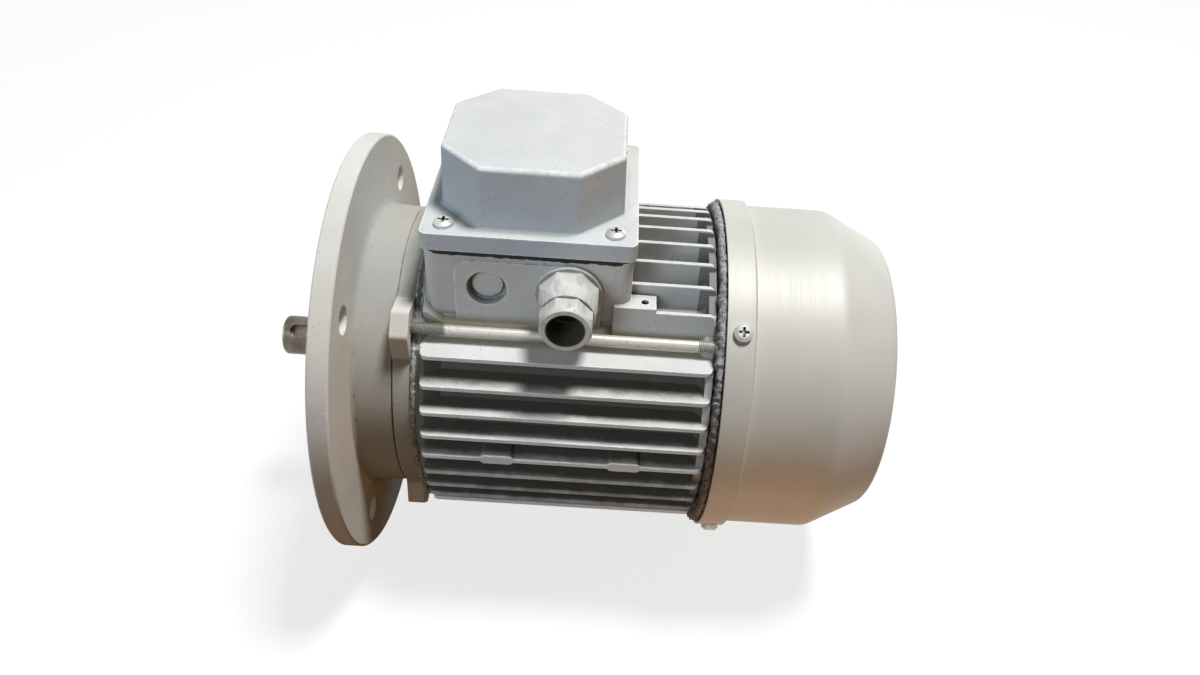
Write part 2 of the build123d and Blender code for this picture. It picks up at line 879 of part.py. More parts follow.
def fan_cover():
    """Spun sheet cover with a stepped mouth, a cone and a slotted rear grille."""
    sheet = cover_sheet
    mouth_end = cover_band_end + cover_step_length
    slope = (cover_body_radius - cover_rear_radius) / (cover_rear - cover_cone_start)
    drop = sheet * math.sqrt(1 + slope**2)
    inner_cone_start = cover_cone_start + (sheet - drop) / slope
    inner_rear_radius = cover_rear_radius + slope * sheet - drop
    shell = turned(
        [
            (cover_front, cover_band_radius),
            (cover_band_end, cover_band_radius),
            (mouth_end, cover_body_radius),
            (cover_cone_start, cover_body_radius),
            (cover_rear, cover_rear_radius),
            (cover_rear, 0),
            (cover_rear - sheet, 0),
            (cover_rear - sheet, inner_rear_radius),
            (inner_cone_start, cover_body_radius - sheet),
            (mouth_end, cover_body_radius - sheet),
            (cover_band_end, cover_band_radius - sheet),
            (cover_front, cover_band_radius - sheet),
        ],
        rounds=[
            ((cover_cone_start, cover_body_radius), cover_cone_round),
            ((inner_cone_start, cover_body_radius - sheet), cover_cone_round - sheet),
            ((cover_rear, cover_rear_radius), cover_rear_round),
            ((cover_rear - sheet, inner_rear_radius), cover_rear_round - sheet),
        ],
    )
    step = 360.0 / grille_slots_per_ring
    slots = []
    for ring in range(grille_ring_count):
        radius = grille_first_radius + ring * grille_ring_pitch
        band = ring_x(
            cover_rear - 2 * sheet,
            cover_rear + 1,
            radius + grille_slot_width / 2,
            radius - grille_slot_width / 2,
        )
        spokes = [
            Rot(step * k + (step / 2 if ring % 2 else 0), 0, 0)
            * Pos(cover_rear, radius, 0)
            * Box(4 * sheet, 2 * grille_slot_width, grille_web)
            for k in range(grille_slots_per_ring)
        ]
        slots.append(band - spokes)
    shell -= slots
    screw_hole = extrude(
        Plane(origin=(cover_screw_place, 0, 0), x_dir=(1, 0, 0), z_dir=(0, 1, 0))
        * Circle(cover_screw_radius + 2 * fit_clearance),
        cover_band_radius + 1,
    )
    shell -= spaced(screw_hole, tie_rod_count, first_bolt_angle + cover_screw_offset)
    return shell


def fan_cover_screws():
    """Four pan-head screws driven radially into the fan-end shield."""
    screw = pan_screw(
        cover_screw_head_radius, cover_screw_head_height, cover_screw_radius, cover_screw_depth
    )
    seated = Plane(origin=(cover_screw_place, cover_band_radius, 0), x_dir=(1, 0, 0), z_dir=(0, 1, 0))
    return group(
        spaced(seated.location * screw, tie_rod_count, first_bolt_angle + cover_screw_offset)
    )


def tie_rods():
    """Long studs that clamp the two end shields onto the frame."""
    start = frame_front - lug_thickness + tie_rod_end_room
    radius = tie_rod_thread_radius
    rod = turned(
        [
            (start, 0),
            (start, radius),
            (tie_rod_front_thread_end, radius),
            (tie_rod_front_thread_end, tie_rod_shank_radius),
            (tie_rod_rear_thread_start, tie_rod_shank_radius),
            (tie_rod_rear_thread_start, radius),
            (tie_rod_end, radius),
            (tie_rod_end, 0),
        ]
    )
    return group(spaced(Pos(0, tie_rod_circle, 0) * rod, tie_rod_count, first_bolt_angle))


def tie_rod_washers():
    """Washers under the tie-rod nuts."""
    washer = ring_x(
        fan_shield_rear,
        fan_shield_rear + tie_rod_washer_thickness,
        tie_rod_washer_radius,
        tie_rod_thread_radius + tie_rod_hole_clearance,
    )
    return group(spaced(Pos(0, tie_rod_circle, 0) * washer, tie_rod_count, first_bolt_angle))


def tie_rod_nuts():
    """Nuts on the fan ends of the tie rods."""
    nut = hexagon_nut(
        tie_rod_nut_flats, tie_rod_nut_height, tie_rod_thread_radius + fit_clearance
    )
    start = fan_shield_rear + tie_rod_washer_thickness
    seated = Plane(origin=(start, tie_rod_circle, 0), x_dir=(0, 1, 0), z_dir=(1, 0, 0))
    return group(spaced(seated.location * nut, tie_rod_count, first_bolt_angle))


def stator_slot(clearance):
    """Section of one stator slot in the YZ plane, centred on +Y."""
    mouth = stator_bore_radius + slot_mouth_depth
    bottom = mouth + slot_depth - clearance
    inner = slot_inner_width / 2 - clearance
    outer = slot_outer_width / 2 - clearance
    return Polygon(
        (mouth + clearance, -inner), (bottom, -outer), (bottom, outer), (mouth + clearance, inner), align=None
    )


def stator_core():
    """Stack of stator laminations with open-mouthed slots."""
    mouth = Pos(stator_bore_radius + slot_mouth_depth / 2, 0) * Rectangle(
        slot_mouth_depth * 2, slot_mouth_width
    )
    slot = stator_slot(0) + mouth
    section = Circle(frame_bore_radius) - Circle(stator_bore_radius)
    step = 360.0 / stator_slot_count
    section -= [Rot(0, 0, step * k) * slot for k in range(stator_slot_count)]
    return extrude(Plane.YZ.offset(core_front) * section, core_length)


def stator_winding():
    """Copper coils: a bar in each slot and an end turn bundle at each end."""
    step = 360.0 / stator_slot_count
    section = Sketch() + [
        Rot(0, 0, step * k) * stator_slot(winding_clearance) for k in range(stator_slot_count)
    ]
    bars = extrude(Plane.YZ.offset(core_front - 2) * section, core_length + 4)
    bundle_round = min(overhang_round, 0.4 * (overhang_outer - overhang_inner))
    bundles = []
    for inner_end, outer_end in (
        (core_front - winding_clearance, core_front - overhang_length),
        (core_rear + winding_clearance, core_rear + overhang_length),
    ):
        bundles.append(
            turned(
                [
                    (inner_end, overhang_inner),
                    (outer_end, overhang_inner),
                    (outer_end, overhang_outer),
                    (inner_end, overhang_outer),
                ],
                rounds=[
                    ((outer_end, overhang_inner), bundle_round),
                    ((outer_end, overhang_outer), bundle_round),
                ],
            )
        )
    return bars + bundles


def rotor_shaft():
    """Stepped shaft with a keyed drive end and a fan seat."""
    shaft = turned(
        [
            (-shaft_length, 0),
            (-shaft_length, shaft_radius),
            (0, shaft_radius),
            (0, bearing_seat_radius),
            (drive_bearing_rear, bearing_seat_radius),
            (drive_bearing_rear, shaft_body_radius),
            (core_front, shaft_body_radius),
            (core_front, rotor_seat_radius),
            (core_rear, rotor_seat_radius),
            (core_rear, shaft_body_radius),
            (fan_bearing_front, shaft_body_radius),
            (fan_bearing_front, bearing_seat_radius),
            (fan_seat_front, bearing_seat_radius),
            (fan_seat_front, fan_seat_radius),
            (clip_front, fan_seat_radius),
            (clip_front, fan_seat_radius - clip_groove_depth),
            (clip_front + clip_thickness, fan_seat_radius - clip_groove_depth),
            (clip_front + clip_thickness, fan_seat_radius),
            (shaft_rear, fan_seat_radius),
            (shaft_rear, 0),
        ],
        rounds=[((-shaft_length, shaft_radius), shaft_end_round)],
    )
    key_centre = -shaft_length + keyway_from_end + keyway_length / 2
    key_plane = Plane(origin=(key_centre, shaft_radius - keyway_depth, 0), x_dir=(1, 0, 0), z_dir=(0, 1, 0))
    slot = extrude(key_plane * SlotOverall(keyway_length, keyway_width), keyway_depth + 1)
    shaft -= Rot(keyway_angle, 0, 0) * slot
    shaft -= cylinder_x(-shaft_length, -shaft_length + centre_thread_depth, centre_thread_radius)
    return shaft


def rotor_slot(clearance):
    """Section of one closed rotor slot, centred on +Y."""
    outer = rotor_slot_outer - clearance
    inner = rotor_slot_inner + clearance
    outer_half = rotor_slot_outer_width / 2 - clearance
    inner_half = rotor_slot_inner_width / 2 - clearance
    return Polygon(
        (inner, -inner_half), (outer, -outer_half), (outer, outer_half), (inner, inner_half), align=None
    )


def rotor_core():
    """Stack of rotor laminations with closed slots."""
    step = 360.0 / rotor_slot_count
    section = Circle(rotor_radius) - Circle(rotor_seat_radius)
    section -= [Rot(0, 0, step * k) * rotor_slot(0) for k in range(rotor_slot_count)]
    return extrude(Plane.YZ.offset(core_front) * section, core_length)


def rotor_cage():
    """Cast cage: a bar in each rotor slot, joined by an end ring with blades at each end."""
    step = 360.0 / rotor_slot_count
    section = Sketch() + [
        Rot(0, 0, step * k) * rotor_slot(cage_bar_clearance) for k in range(rotor_slot_count)
    ]
    cage = extrude(Plane.YZ.offset(core_front - 1) * section, core_length + 2)
    blade_length = cage_ring_outer - 1 - cage_blade_inner
    for ring_start, blade_start in (
        (core_front - cage_ring_thickness, core_front - cage_ring_thickness - cage_blade_height),
        (core_rear, core_rear + cage_ring_thickness - 1),
    ):
        cage += ring_x(ring_start, ring_start + cage_ring_thickness, cage_ring_outer, cage_ring_inner)
        blade = Pos(
            blade_start + (cage_blade_height + 1) / 2, cage_blade_inner + blade_length / 2, 0
        ) * Box(cage_blade_height + 1, blade_length, cage_blade_thickness)
        cage += spaced(blade, cage_blade_count)
    return cage


def race_groove(front):
    """Ring-shaped tool that cuts a ball groove into both bearing rings."""
    centre = front + bearing_width / 2
    section = Pos(centre, ball_circle) * Circle(ball_radius + ball_clearance)
    return revolve(section, Axis.X)


def bearing_inner_ring(front):
    """Inner ring of a deep-groove ball bearing."""
    rear = front + bearing_width
    ring = turned(
        [
            (front, bearing_bore_radius),
            (front, inner_race_radius - ring_chamfer),
            (front + ring_chamfer, inner_race_radius),
            (rear - ring_chamfer, inner_race_radius),
            (rear, inner_race_radius - ring_chamfer),
            (rear, bearing_bore_radius),
        ]
    )
    return ring - race_groove(front)


def bearing_outer_ring(front):
    """Outer ring with a recess at each side for its shield."""
    rear = front + bearing_width
    seat = outer_race_radius + shield_seat_depth
    depth = shield_plate_inset + shield_plate_thickness
    ring = turned(
        [
            (front, seat),
            (front, bearing_outer_radius - ring_chamfer),
            (front + ring_chamfer, bearing_outer_radius),
            (rear - ring_chamfer, bearing_outer_radius),
            (rear, bearing_outer_radius - ring_chamfer),
            (rear, seat),
            (rear - depth, seat),
            (rear - depth, outer_race_radius),
            (front + depth, outer_race_radius),
            (front + depth, seat),
        ]
    )
    return ring - race_groove(front)


def bearing_shields(front):
    """The two pressed shields of one bearing."""
    inner = inner_race_radius + shield_lip_clearance
    outer = outer_race_radius + shield_seat_depth
    near = front + shield_plate_inset
    far = front + bearing_width - shield_plate_inset - shield_plate_thickness
    return group(
        [ring_x(start, start + shield_plate_thickness, outer, inner) for start in (near, far)]
    )


def bearing_balls(front):
    """The balls of one bearing."""
    ball = Pos(front + bearing_width / 2, ball_circle, 0) * Sphere(ball_radius)
    return group(spaced(ball, ball_count, 360.0 / ball_count / 2))


def bearing_cage(front):
    """Cage that keeps the balls apart."""
    centre = front + bearing_width / 2
    ring = ring_x(centre - cage_half_width, centre + cage_half_width, cage_outer_radius, cage_inner_radius)
    pocket = Pos(centre, ball_circle, 0) * Sphere(ball_radius + ball_clearance / 2)
    return ring - spaced(pocket, ball_count, 360.0 / ball_count / 2)


def drive_bearing_circlip():
    """Internal snap ring that holds the drive-end bearing in its hub."""
    start = drive_bearing_rear
    outer = bearing_outer_radius + bearing_circlip_depth - fit_clearance
    ring = ring_x(start, start + bearing_circlip_thickness, outer, outer - bearing_circlip_height)
    gap = 2 * outer * math.sin(math.radians(circlip_gap_angle / 2))
    notch = Pos(start, -outer, 0) * Box(4 * bearing_circlip_thickness, 2 * bearing_circlip_height + 2, gap)
    return ring - notch


def wave_spring():
    """Wavy washer that preloads the fan-end bearing."""
    outer = bearing_outer_radius - 0.2
    step = 360.0 / wave_spring_lobes
    travel = wave_spring_height - wave_spring_thickness
    flat = ring_x(
        fan_bearing_rear + travel / 2,
        fan_bearing_rear + travel / 2 + wave_spring_thickness,
        outer,
        wave_spring_inner,
    )
    width = outer - wave_spring_inner
    middle = (outer + wave_spring_inner) / 2
    crest = Pos(fan_bearing_rear + travel / 4 + 0.01, middle, 0) * Box(travel / 2 + 0.02, width * 0.8, width)
    trough = Pos(spring_rear - travel / 4 - 0.01, middle, 0) * Box(travel / 2 + 0.02, width * 0.8, width)
    return flat + spaced(crest, wave_spring_lobes) + spaced(trough, wave_spring_lobes, step / 2)


def shaft_seal():
    """Rubber lip seal in the flange, round the shaft."""
    front = seal_front_inset
    rear = front + seal_width
    lip = bearing_seat_radius + seal_lip_clearance
    return turned(
        [
            (front, seal_radius),
            (rear, seal_radius),
            (rear, seal_radius - seal_wall),
            (front + seal_wall, seal_radius - seal_wall),
            (front + seal_wall, lip + seal_wall),
            (front + seal_width * 0.6, lip + seal_wall),
            (front + seal_width * 0.6, lip),
            (front + seal_wall / 2, lip),
            (front, lip + seal_wall / 2),
        ]
    )


def cooling_fan():
    """Moulded fan: hub, dished plate and straight radial blades."""
    bore = fan_seat_radius + fan_bore_clearance
    hub_rear = fan_front + fan_hub_length
    plate_slope = 3.0
    wheel = turned(
        [
            (fan_front, bore),
            (fan_front, fan_plate_radius),
            (fan_front + fan_plate_thickness, fan_plate_radius),
            (fan_front + fan_plate_thickness + plate_slope, fan_hub_radius),
            (hub_rear, fan_hub_radius - 1),
            (hub_rear, bore),
        ]
    )
    tip = fan_front + fan_blade_length
    outline = Polygon(
        (fan_front, fan_hub_radius - 1),
        (fan_front, fan_plate_radius),
        (fan_front + fan_blade_slope, fan_radius),
        (tip, fan_radius),
        (tip, fan_radius - fan_blade_slope),
        (hub_rear - 1, fan_hub_radius - 1),
        align=None,
    )
    blade = Pos(0, 0, -fan_blade_thickness / 2) * extrude(outline, fan_blade_thickness)
    return wheel + spaced(blade, fan_blade_count)


def fan_clip():
    """External snap ring that keeps the fan on the shaft."""
    inner = fan_seat_radius - clip_groove_depth + fit_clearance
    ring = ring_x(clip_front, clip_front + clip_thickness, inner + clip_height, inner)
    gap = 2 * inner * math.sin(math.radians(circlip_gap_angle / 2))
    notch = Pos(clip_front, -inner - clip_height / 2, 0) * Box(4 * clip_thickness, 2 * clip_height, gap)
    return ring - notch


def lid_gasket():
    """Rubber gasket between the box walls and the lid."""
    frame_plate = box_block(-gasket_inset, box_corner, box_top, lid_bottom)
    opening = box_block(-box_wall, box_inner_corner, box_top, lid_bottom)
    for side_x in (-1, 1):
        for side_y in (-1, 1):
            x = box_centre + side_x * lid_screw_half_length
            y = side_y * lid_screw_half_depth
            opening -= cylinder_z(x, y, box_top, lid_bottom, box_boss_radius)
    gasket = frame_plate - opening
    for side_x in (-1, 1):
        for side_y in (-1, 1):
            gasket -= cylinder_z(
                box_centre + side_x * lid_screw_half_length,
                side_y * lid_screw_half_depth,
                box_top,
                lid_bottom,
                lid_screw_radius + lid_screw_clearance,
            )
    return gasket


def octagon(shrink):
    """Plan of the lid's raised part, shrunk all round."""
    half_length = lid_dome_half_length - shrink
    half_depth = lid_dome_half_depth - shrink
    cut = lid_dome_chamfer - shrink * (2 - math.sqrt(2))
    return Polygon(
        (-half_length + cut, -half_depth),
        (half_length - cut, -half_depth),
        (half_length, -half_depth + cut),
        (half_length, half_depth - cut),
        (half_length - cut, half_depth),
        (-half_length + cut, half_depth),
        (-half_length, half_depth - cut),
        (-half_length, -half_depth + cut),
        align=None,
    )


def terminal_box_lid():
    """Lid with a raised octagonal part and a screw at each corner."""
    plate = box_block(lid_overhang, lid_corner, lid_bottom, lid_plate_top)
    base = Pos(box_centre, 0, lid_bottom)
    top = Pos(box_centre, 0, lid_top)
    dome = loft([base * octagon(0), top * octagon(lid_dome_draft)])
    upright = dome.edges().filter_by(lambda edge: edge.bounding_box().size.Z > lid_plate_thickness)
    dome = fillet(upright, lid_dome_edge_round)
    dome = fillet(dome.faces().sort_by(Axis.Z)[-1].edges(), lid_dome_round)
    lid = plate + dome
    foot = lid.edges().filter_by_position(Axis.Z, lid_plate_top - 0.1, lid_plate_top + 0.1)
    foot = foot.filter_by(lambda edge: abs(edge.center().Y) < lid_dome_half_depth)
    foot = foot.filter_by(lambda edge: abs(edge.center().X - box_centre) < lid_dome_half_length)
    lid = fillet(foot, lid_dome_foot_round)
    inside_top = Pos(box_centre, 0, lid_top - lid_wall)
    inside = loft([base * octagon(lid_wall), inside_top * octagon(lid_wall + lid_dome_draft)])
    lid -= inside
    for side_x in (-1, 1):
        for side_y in (-1, 1):
            lid -= cylinder_z(
                box_centre + side_x * lid_screw_half_length,
                side_y * lid_screw_half_depth,
                lid_bottom,
                lid_plate_top,
                lid_screw_radius + lid_screw_clearance,
            )
    return lid


def lid_screws():
    """Four pan-head screws of the lid."""
    screw = pan_screw(lid_screw_head_radius, lid_screw_head_height, lid_screw_radius, lid_screw_length)
    return group(
        [
            Pos(
                box_centre + side_x * lid_screw_half_length,
                side_y * lid_screw_half_depth,
                lid_plate_top,
            )
            * screw
            for side_x in (-1, 1)
            for side_y in (-1, 1)
        ]
    )


def stud_places():
    """Plan positions of the terminal studs."""
    middle = (stud_columns - 1) / 2
    return [
        (box_centre + (column - middle) * stud_pitch, row * stud_row_spacing / 2)
        for column in range(stud_columns)
        for row in (-1, 1)
    ]


def board_screw_places():
    """Plan positions of the two board screws, at opposite corners of the board."""
    return [
        (box_centre + side * board_screw_half_spacing, side * board_screw_half_depth)
        for side in (-1, 1)
    ]


def terminal_board():
    """Moulded board with ribs between the studs and a pocket under each stud head."""
    plan = RectangleRounded(board_length, board_width, board_corner)
    board = Pos(box_centre, 0, board_bottom) * extrude(plan, board_thickness)
    top = board_bottom + board_thickness
    for column in range(stud_columns - 1):
        x = box_centre + (column - (stud_columns - 2) / 2) * stud_pitch
        board += Pos(x, 0, top + board_rib_height / 2 - 0.5) * Box(
            board_rib_thickness, board_width * 0.9, board_rib_height + 1
        )
    pocket_radius = stud_nut_flats / math.sqrt(3) + 3 * fit_clearance
    for x, y in stud_places():
        board -= cylinder_z(x, y, board_bottom, top, stud_radius + fit_clearance)
        board -= cylinder_z(x, y, board_bottom, board_bottom + stud_head_height, pocket_radius)
    for x, y in board_screw_places():
        board -= cylinder_z(x, y, board_bottom, top, lid_screw_radius + lid_screw_clearance)
    return board


def terminal_studs():
    """Brass studs with hexagon heads under the board."""
    head = extrude(RegularPolygon(stud_nut_flats / 2, 6, major_radius=False), stud_head_height)
    stud = head + extrude(Circle(stud_radius), board_thickness + stud_projection)
    return group([Pos(x, y, board_bottom) * stud for x, y in stud_places()])


def terminal_nuts():
    """Two brass nuts on each stud: one holds the lead lug, one holds the link."""
    nut = hexagon_nut(stud_nut_flats, stud_nut_height, stud_radius + fit_clearance)
    lower = board_bottom + board_thickness
    upper = lower + stud_nut_height + link_thickness
    return group([Pos(x, y, z) * nut for x, y in stud_places() for z in (lower, upper)])


def terminal_links():
    """Three brass links across the stud rows, in the delta position."""
    height = board_bottom + board_thickness + stud_nut_height
    plan = SlotOverall(stud_row_spacing + link_width, link_width)
    for side in (-1, 1):
        plan -= Pos(side * stud_row_spacing / 2, 0) * Circle(stud_radius + fit_clearance)
    link = Rot(0, 0, 90) * extrude(plan, link_thickness)
    middle = (stud_columns - 1) / 2
    return group(
        [
            Pos(box_centre + (column - middle) * stud_pitch, 0, height) * link
            for column in range(stud_columns)
        ]
    )


def board_screws():
    """Two screws that hold the terminal board to the frame."""
    screw = pan_screw(
        lid_screw_head_radius, lid_screw_head_height, lid_screw_radius, board_screw_length - 0.5
    )
    return group(
        [Pos(x, y, board_bottom + board_thickness) * screw for x, y in board_screw_places()]
    )


def inner_earth_screw():
    """Earth terminal screw inside the box."""
    screw = pan_screw(lid_screw_head_radius, lid_screw_head_height, stud_radius, earth_stud_height - 0.5)
    return Pos(earth_stud_place[0], earth_stud_place[1], earth_stud_bottom) * screw


def lead_bush():
    """Rubber bush that lines the hole where the winding leads enter the box."""
    seat = frame_core_radius
    outer = lead_hole_radius - fit_clearance
    sleeve = cylinder_z(lead_hole_place, 0, frame_bore_radius + 0.2, seat + 2.6, outer)
    collar = cylinder_z(lead_hole_place, 0, seat + 0.1, seat + 2.6, lead_hole_radius + 1.5)
    hole = cylinder_z(lead_hole_place, 0, frame_bore_radius, seat + 3, lead_hole_radius - 2)
    return sleeve + collar - hole


def polygon_cone(start, end, flats, start_radius, end_radius):
    """Polygonal bar on the gland's axis, turned down to a cone: flats show where it is wide."""
    prism_plane = facing_front(gland_place, start, entry_height)
    outline = Rot(0, 0, 180.0 / gland_sides) * RegularPolygon(
        flats / 2, gland_sides, major_radius=False
    )
    prism = extrude(prism_plane * outline, start - end)
    slope = math.degrees(math.atan((start_radius - end_radius) / (start - end)))
    cone = extrude(prism_plane * Circle(start_radius), start - end, taper=slope)
    return prism & cone


def gland_body():
    """Gland body: shank in the box wall, round collar and a grip that tapers to a round rim."""
    collar_front = panel_face - gland_collar_width
    shank_end = panel_face + gland_shank_length
    body = front_cylinder(gland_place, entry_height, shank_end, panel_face, gland_shank_radius)
    body += front_cylinder(gland_place, entry_height, panel_face, collar_front, gland_collar_radius)
    body += polygon_cone(
        collar_front,
        gland_body_front,
        gland_body_flats,
        gland_body_rear_radius,
        gland_body_front_radius,
    )
    body -= front_cylinder(
        gland_place, entry_height, shank_end, gland_body_front, gland_bore_radius
    )
    return body - front_cylinder(
        gland_place, entry_height, gland_seal_rear, gland_body_front, gland_thread_radius
    )


def gland_seal():
    """Rubber ring that grips the cable."""
    outer = gland_thread_radius - gland_ring_clearance
    seal = front_cylinder(gland_place, entry_height, gland_seal_rear, gland_seal_front, outer)
    return seal - front_cylinder(
        gland_place, entry_height, gland_seal_rear, gland_seal_front, gland_seal_bore
    )


def gland_ring():
    """Slip ring between the pressure screw and the rubber seal."""
    outer = gland_thread_radius - gland_ring_clearance
    ring = front_cylinder(gland_place, entry_height, gland_seal_front, gland_ring_front, outer)
    return ring - front_cylinder(
        gland_place, entry_height, gland_seal_front, gland_ring_front, gland_ring_bore
    )


def gland_nut():
    """Pressure screw of the gland: an eight-sided head on a short threaded sleeve."""
    front = gland_nut_rear - gland_nut_head_length
    flare = gland_nut_head_length * math.tan(math.radians(gland_nut_face_slope))
    nut = polygon_cone(
        gland_nut_rear,
        front,
        gland_nut_flats,
        gland_nut_front_radius + flare,
        gland_nut_front_radius,
    )
    nut += front_cylinder(
        gland_place,
        entry_height,
        gland_ring_front,
        gland_nut_rear,
        gland_thread_radius - fit_clearance,
    )
    return nut - front_cylinder(gland_place, entry_height, gland_ring_front, front, gland_nut_bore)


def locknut_prism(start, end, flats):
    """Hexagonal prism on the gland's axis with two flats facing along X."""
    outline = Rot(0, 0, 30) * RegularPolygon(flats / 2, 6, major_radius=False)
    return extrude(facing_front(gland_place, start, entry_height) * outline, start - end)


def gland_locknut():
    """Thin hexagon nut on the gland's shank, inside the box."""
    seat = box_inner_face + entry_boss_height
    nut = locknut_prism(seat + gland_locknut_thickness, seat, gland_locknut_flats)
    hole = front_cylinder(
        gland_place,
        entry_height,
        seat + gland_locknut_thickness,
        seat,
        gland_shank_radius + fit_clearance,
    )
    return nut - hole


def build_all():
    """Every sub-part of the motor by name."""
    parts = {
        "flange_end_shield": flange_end_shield(),
        "stator_housing": stator_housing(),
        "fan_end_shield": fan_end_shield(),
        "fan_cover": fan_cover(),
        "fan_cover_screws": fan_cover_screws(),
        "tie_rods": tie_rods(),
        "tie_rod_washers": tie_rod_washers(),
        "tie_rod_nuts": tie_rod_nuts(),
        "stator_core": stator_core(),
        "stator_winding": stator_winding(),
        "rotor_shaft": rotor_shaft(),
        "rotor_core": rotor_core(),
        "rotor_cage": rotor_cage(),
        "drive_bearing_circlip": drive_bearing_circlip(),
        "wave_spring": wave_spring(),
        "shaft_seal": shaft_seal(),
        "cooling_fan": cooling_fan(),
        "fan_clip": fan_clip(),
        "terminal_box_gasket": lid_gasket(),
        "terminal_box_lid": terminal_box_lid(),
        "lid_screws": lid_screws(),
        "terminal_board": terminal_board(),
        "terminal_studs": terminal_studs(),
        "terminal_nuts": terminal_nuts(),
        "terminal_links": terminal_links(),
        "terminal_board_screws": board_screws(),
        "inner_earth_screw": inner_earth_screw(),
        "lead_bush": lead_bush(),
        "gland_body": gland_body(),
        "gland_seal": gland_seal(),
        "gland_ring": gland_ring(),
        "gland_nut": gland_nut(),
        "gland_locknut": gland_locknut(),
    }
    for end, front in (("drive", drive_bearing_front), ("fan", fan_bearing_front)):
        parts[f"{end}_bearing_outer_ring"] = bearing_outer_ring(front)
        parts[f"{end}_bearing_inner_ring"] = bearing_inner_ring(front)
        parts[f"{end}_bearing_shields"] = bearing_shields(front)
        parts[f"{end}_bearing_balls"] = bearing_balls(front)
        parts[f"{end}_bearing_cage"] = bearing_cage(front)
    return parts


os.makedirs("parts", exist_ok=True)
for name, shape in build_all().items():
    export_step(shape, f"parts/{name}.step")
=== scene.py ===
import bpy
import math
from mathutils import Matrix, Vector, noise


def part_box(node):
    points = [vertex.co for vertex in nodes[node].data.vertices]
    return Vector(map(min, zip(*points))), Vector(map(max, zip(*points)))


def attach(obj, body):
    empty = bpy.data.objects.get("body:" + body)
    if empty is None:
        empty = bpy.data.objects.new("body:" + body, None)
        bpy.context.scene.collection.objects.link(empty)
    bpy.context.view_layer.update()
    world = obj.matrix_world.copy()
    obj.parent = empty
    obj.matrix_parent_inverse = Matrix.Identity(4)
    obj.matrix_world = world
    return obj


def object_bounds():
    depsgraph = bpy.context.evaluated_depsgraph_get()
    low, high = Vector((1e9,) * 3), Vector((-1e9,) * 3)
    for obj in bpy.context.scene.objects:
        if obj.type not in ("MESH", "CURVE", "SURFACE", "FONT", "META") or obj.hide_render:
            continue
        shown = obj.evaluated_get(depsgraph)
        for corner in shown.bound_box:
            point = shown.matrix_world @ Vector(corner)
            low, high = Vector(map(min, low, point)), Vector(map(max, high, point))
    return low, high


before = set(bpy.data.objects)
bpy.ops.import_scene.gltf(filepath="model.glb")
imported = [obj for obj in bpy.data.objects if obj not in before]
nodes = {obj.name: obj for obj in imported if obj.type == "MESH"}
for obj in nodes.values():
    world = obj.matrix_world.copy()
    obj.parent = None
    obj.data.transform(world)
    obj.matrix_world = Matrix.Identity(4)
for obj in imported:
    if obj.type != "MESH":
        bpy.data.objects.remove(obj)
cad_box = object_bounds()

# Camera, as fitted to the photograph: metres, radians and pixels of its frame
camera_place = (0.112455, -0.354358, 0.297490)
camera_turn = (2.272, -0.017, 0.064)
focal_pixels = 929.914
principal_point = (610.893, 357.741)
picture_size = (1200.0, 675.0)
sensor_width = 36.0
nearest_seen = 0.01
farthest_seen = 50.0

# Noises over an object: scale, detail, roughness and stretch along X, Y and Z
even = (1, 1, 1)
grains = {
    "paint_clouds": (28.0, 4.0, 0.6, even),
    "blasting": (1400.0, 3.0, 0.6, even),
    "paint_specks": (420.0, 5.0, 0.75, even),
    "pinholes": (1100.0, 2.0, 0.5, even),
    "pinhole_fields": (55.0, 3.0, 0.5, even),
    "edge_chips": (300.0, 4.0, 0.7, even),
    "cast_waves": (60.0, 3.0, 0.5, even),
    "lid_rubs_and_highlight": (260.0, 4.0, 0.7, even),
    "warm_reflection_patches": (11.0, 4.0, 0.6, even),
    "facet_scuffs": (300.0, 4.0, 0.7, (1.0, 0.25, 1.0)),
    "channel_shade_border": (60.0, 4.0, 0.7, even),
    "channel_shade_grain": (200.0, 4.0, 0.6, even),
    "dust": (150.0, 4.0, 0.7, even),
    "spun_rings": (900.0, 3.0, 0.6, (1.0, 0.02, 0.02)),
    "spun_clouds": (14.0, 3.0, 0.5, even),
    "spun_marks": (230.0, 5.0, 0.8, even),
    "spun_skin": (1500.0, 2.0, 0.5, even),
    "lumps": (330.0, 5.0, 0.7, even),
    "bright_specks": (700.0, 4.0, 0.8, even),
    "ring_scuffs": (260.0, 4.0, 0.75, (1.0, 0.22, 0.22)),
    "steel_marks": (900.0, 4.0, 0.65, even),
    "turned_marks": (900.0, 4.0, 0.65, (0.05, 1, 1)),
    "steel_stains": (90.0, 4.0, 0.7, even),
    "plating_marks": (700.0, 4.0, 0.65, even),
    "rod_stains": (500.0, 4.0, 0.7, even),
    "rod_skin": (1400.0, 3.0, 0.5, even),
    "moulded_skin": (1100.0, 3.0, 0.6, even),
    "moulded_clouds": (70.0, 4.0, 0.6, even),
    "moulded_chips": (420.0, 5.0, 0.8, even),
    "strands": (1300.0, 2.0, 0.4, (1.0, 0.15, 0.15)),
    "pits": (900.0, 5.0, 0.8, even),
    "skin_patches": (240.0, 4.0, 0.7, even),
}

